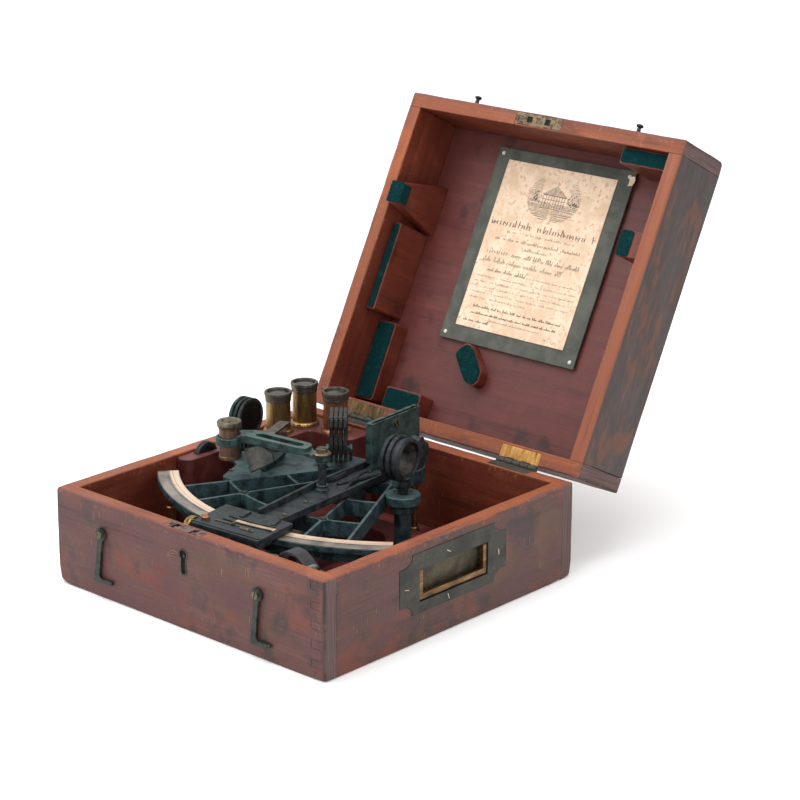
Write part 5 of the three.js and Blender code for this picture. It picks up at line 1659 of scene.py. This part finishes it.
def make_post_fittings():
    """The magnifier post's cap and collars, and the arm's screws."""
    post_x, post_y = POST_AT
    cap = lathe([(0, 101.5), (6.6, 101.5), (7.1, 102.1), (7.1, 103.4), (6.2, 104.2), (4.4, 104.5),
                 (4.4, 106.2), (0, 106.2)], 48)
    piece("post_cap", moved(merged([cap, moved(screw(4.5, 1.3, 20), 0, 0, 106)]), post_x, post_y), ARM,
          "index_arm", CAP_BRASS)
    collars = [hoop([(3.2, z), (4.4, z), (4.7, z + 0.5), (4.4, z + 1), (3.2, z + 1)], 40)
               for z in (77.5, 95.6)]
    piece("post_collars", [moved(part, post_x, post_y) for part in collars], ARM, "index_arm",
          GREEN_BRONZE)
    heads = [moved(screw(2.1, 0.9, 35 * i), x, y, 74)
             for i, (x, y) in enumerate(((6, -60), (7, -120), (12, -150), (2, -38)))]
    piece("arm_screws", heads, ARM, "index_arm", GREY_BRASS)


def make_index_mirror():
    low, high = span("index_mirror_frame", ARM)
    plate = sideways(rounded([(low.y, 75.4), (low.y, high.z), (high.y, high.z), (high.y, 75.4)], 1.2, 3),
                     0.6, 3.4)
    foot = slab(rounded([(-4, -20), (14, -20), (14, 20), (-4, 20)], 4), 75.05, 77.4)
    clips = [box((-3.4, y0, 79.2), (1, y0 + 2.4, 109.8)) for y0 in (low.y + 0.1, high.y - 2.5)]
    rim = sideways(rounded([(low.y, high.z - 1.8), (low.y, high.z), (high.y, high.z),
                            (high.y, high.z - 1.8)], 0.5, 2), -2.6, 3.9)
    boss = aimed(lathe([(0, 0), (4.4, 0), (4.4, 0.4), (3.8, 0.8), (0, 0.8)], 32), (1, 0, 0), (3.3, -6, 106))
    brace = [eased(sideways([(y - 1.4, 77), (y + 1.4, 77), (y + 1.4, 90), (y - 1.4, 90)], 3, 5.2), 0.4)
             for y in (-22, 14)]
    body = [eased(part, 0.35) for part in [plate, foot, *clips, rim]] + [boss, *brace]
    piece("index_mirror_back", body, ARM, "index_arm", GREEN_BRONZE, ["index_mirror_frame"])
    head = aimed(screw(2.9, 1.8, 25), (1, 0, 0), (3.9, -6, 106))
    feet = [moved(screw(2.2, 1.0, 50 * i), 10.5, y, 77.3) for i, y in enumerate((-14, 14))]
    piece("index_mirror_screws", [head, *feet], ARM, "index_arm", CAP_BRASS)
    low, high = span("index_mirror_glass", ARM)
    piece("index_mirror", eased(box(low, high), 0.4), ARM, "index_arm", MIRROR, ["index_mirror_glass"])


# ---------------- the magnifier, drawn with +X from its post to its ring ----------------

def make_magnifier():
    low, high = span("magnifier_tube", MAGNIFIER)
    reach = (low.x + high.x) / 2
    outline = [(4, -4.2), (10, -6), (17, -12.6), (70, -18.2), (80, -12), (88, -5), (80, 8), (71, -0.6),
               (20, 2.6), (12, 2), (4, 4.2)]
    bar = [(14, -9), (19, -12.9), (70, -17.6), (79, -12), (86, -5), (79, 7), (70.6, -1.2), (20, 2),
           (14, 1.2)]
    slot = [(19, -5), (23, -1.8), (62, -5.2), (66, -8.6), (62, -12.2), (22, -8.8)]
    cut_low, cut_high = THROUGH
    eye = moved(rod(8.7, cut_low, cut_high, 64), reach)
    shape = boolean(slab(rounded(outline, 3), 98.9, 101.3), [slab(rounded(bar, 3), 99, 104.4)], "UNION")
    arm = eased(boolean(shape, [slab(rounded(slot, 2), *THROUGH), eye]), 0.45)
    ferrule = hoop([(8.7, 96.2), (10.2, 96.2), (10.7, 96.7), (10.7, 101.9), (10.2, 102.4), (8.7, 102.4)],
                   64)
    hub = hoop([(2.75, 97.8), (5.6, 97.8), (6, 98.2), (6, 101.2), (2.75, 101.4)], 48)
    joint_screws = [moved(screw(1.4, 0.8, 30), x, y, 104) for x, y in ((71, -12), (73, 3))]
    piece("swing_arm", [arm, moved(ferrule, reach), hub, *joint_screws], MAGNIFIER, "magnifier_arm",
          GREEN_BRONZE, ["magnifier_arm"])
    make_eye_tube(reach, low, high)
    make_screen()


def make_eye_tube(reach, low, high):
    tube = lathe([(0, low.z), (7.2, low.z), (8.3, low.z + 0.8), (8.3, low.z + 3), (8.0, low.z + 3.3),
                  (8.0, high.z - 6.4), (8.4, high.z - 5.8), (8.4, high.z - 4.6), (0, high.z - 4.6)], 64)
    head = lathe([(0, high.z - 4.7), (8.5, high.z - 4.7), (9.2, high.z - 4.2), (9.6, high.z - 3.4),
                  (9.6, high.z - 0.6), (9.1, high.z), (6.2, high.z), (5.6, high.z - 1.0),
                  (1.6, high.z - 1.2), (1.3, high.z - 2.4), (0, high.z - 2.4)], 64)
    # painted shade: a near-black disc at the bottom of the eyepiece's peephole
    dark = rod(1.35, high.z - 2.38, high.z - 2.2, 24)
    piece("eye_tube", moved(tube, reach), MAGNIFIER, "magnifier_tube", TUBE_BRASS, ["magnifier_tube"])
    piece("eye_tube_head", moved(head, reach), MAGNIFIER, "magnifier_tube", GREY_BRASS)
    piece("eye_tube_hole_shade", moved(dark, reach), MAGNIFIER, "magnifier_tube", PAINTED_SHADE)


def make_screen():
    """The frosted screen that keeps glare off the scale, in its wire rim."""
    low, high = span("diffuser_screen", MAGNIFIER)
    sheet = cad("diffuser_screen", MAGNIFIER)
    piece("screen", eased(sheet, 0.25), MAGNIFIER, "magnifier_arm", FROST, ["diffuser_screen"])
    sheet_y = (low.y + high.y) / 2
    rim_points = [(vertex.co.x, vertex.co.z) for vertex in cad("diffuser_screen", MAGNIFIER).verts
                  if vertex.co.y > sheet_y]
    middle = (sum(p[0] for p in rim_points) / len(rim_points),
              sum(p[1] for p in rim_points) / len(rim_points))
    rim_points.sort(key=lambda p: math.atan2(p[1] - middle[1], p[0] - middle[0]))
    loop = [(x, high.y - 0.7, z) for x, z in rim_points]
    bars = [sweep([start, end], 0.75, 8) for start, end in zip(loop, loop[1:] + loop[:1])]
    piece("screen_rim", bars, MAGNIFIER, "magnifier_arm", GREEN_BRONZE)


# ---------------- the studio ----------------

def make_floor():
    sheet = mesh_of([(-4000, -4000, 0), (4000, -4000, 0), (4000, 4000, 0), (-4000, 4000, 0)],
                    [(0, 1, 2, 3)])
    bmesh.ops.scale(sheet, vec=(MM, MM, MM), verts=sheet.verts)
    mesh = bpy.data.meshes.new("floor")
    sheet.to_mesh(mesh)
    floor = bpy.data.objects.new("floor", mesh)
    bpy.context.scene.collection.objects.link(floor)
    floor.location.z = -FLOOR_GAP * MM
    look = Look("pale_floor")
    mesh.materials.append(look.done((0.96, 0.96, 0.96, 1), 0.7, Specular_IOR_Level=0.1,
                                    Emission_Color=(1, 1, 1, 1), Emission_Strength=0.07))


def area_light(name, place, aim, size, power):
    data = bpy.data.lights.new(name, "AREA")
    data.shape = "RECTANGLE"
    data.size, data.size_y = size
    data.energy = power
    light = bpy.data.objects.new(name, data)
    light.location = place
    light.rotation_euler = (Vector(aim) - Vector(place)).to_track_quat("-Z", "Y").to_euler()
    bpy.context.scene.collection.objects.link(light)


def make_studio():
    world = bpy.data.worlds.new("studio")
    world.use_nodes = True
    world.node_tree.nodes["Background"].inputs["Color"].default_value = (1, 1, 1, 1)
    world.node_tree.nodes["Background"].inputs["Strength"].default_value = 0.95
    scene = bpy.context.scene
    scene.world = world
    scene.view_settings.view_transform = "Standard"
    area_light("key", (-1.2, -1.0, 2.3), (0, 0, 0.1), (1.4, 1.4), 24)
    area_light("top", (0.1, 0.1, 2.4), (0, 0.05, 0), (1.4, 1.4), 26)
    area_light("fill", (2.2, -0.9, 1.2), (0, 0.1, 0.1), (1.2, 1.6), 5)
    make_camera()


def make_camera():
    azimuth, elevation, roll, distance = 42.24, 17.89, 0.15, 2.044
    aim = Vector((-0.0430, 0.1420, 0.1000))
    data = bpy.data.cameras.new("camera")
    data.lens = 114.66
    data.sensor_width = 36
    camera = bpy.data.objects.new("camera", data)
    bpy.context.scene.collection.objects.link(camera)
    turn = math.radians(azimuth)
    rise = math.radians(elevation)
    away = Vector((math.sin(turn) * math.cos(rise), -math.cos(turn) * math.cos(rise), math.sin(rise)))
    camera.location = aim + away * distance
    tilt = Matrix.Rotation(math.radians(roll), 3, "Z").to_quaternion()
    camera.rotation_euler = ((-away).to_track_quat("-Z", "Y") @ tilt).to_euler()
    bpy.context.scene.camera = camera


make_tray()
make_hinges()
make_hooks()
make_keeper()
make_blocks()
make_telescopes()
make_eyepiece_cap()
make_lid()
make_keepers()
make_certificate()
make_frame()
make_collar()
make_horizon_shades()
make_index_shades()
make_horizon_mirror()
make_index_arm()
make_vernier()
make_clamp()
make_tangent_screw()
make_post_fittings()
make_index_mirror()
make_magnifier()
make_floor()
make_studio()
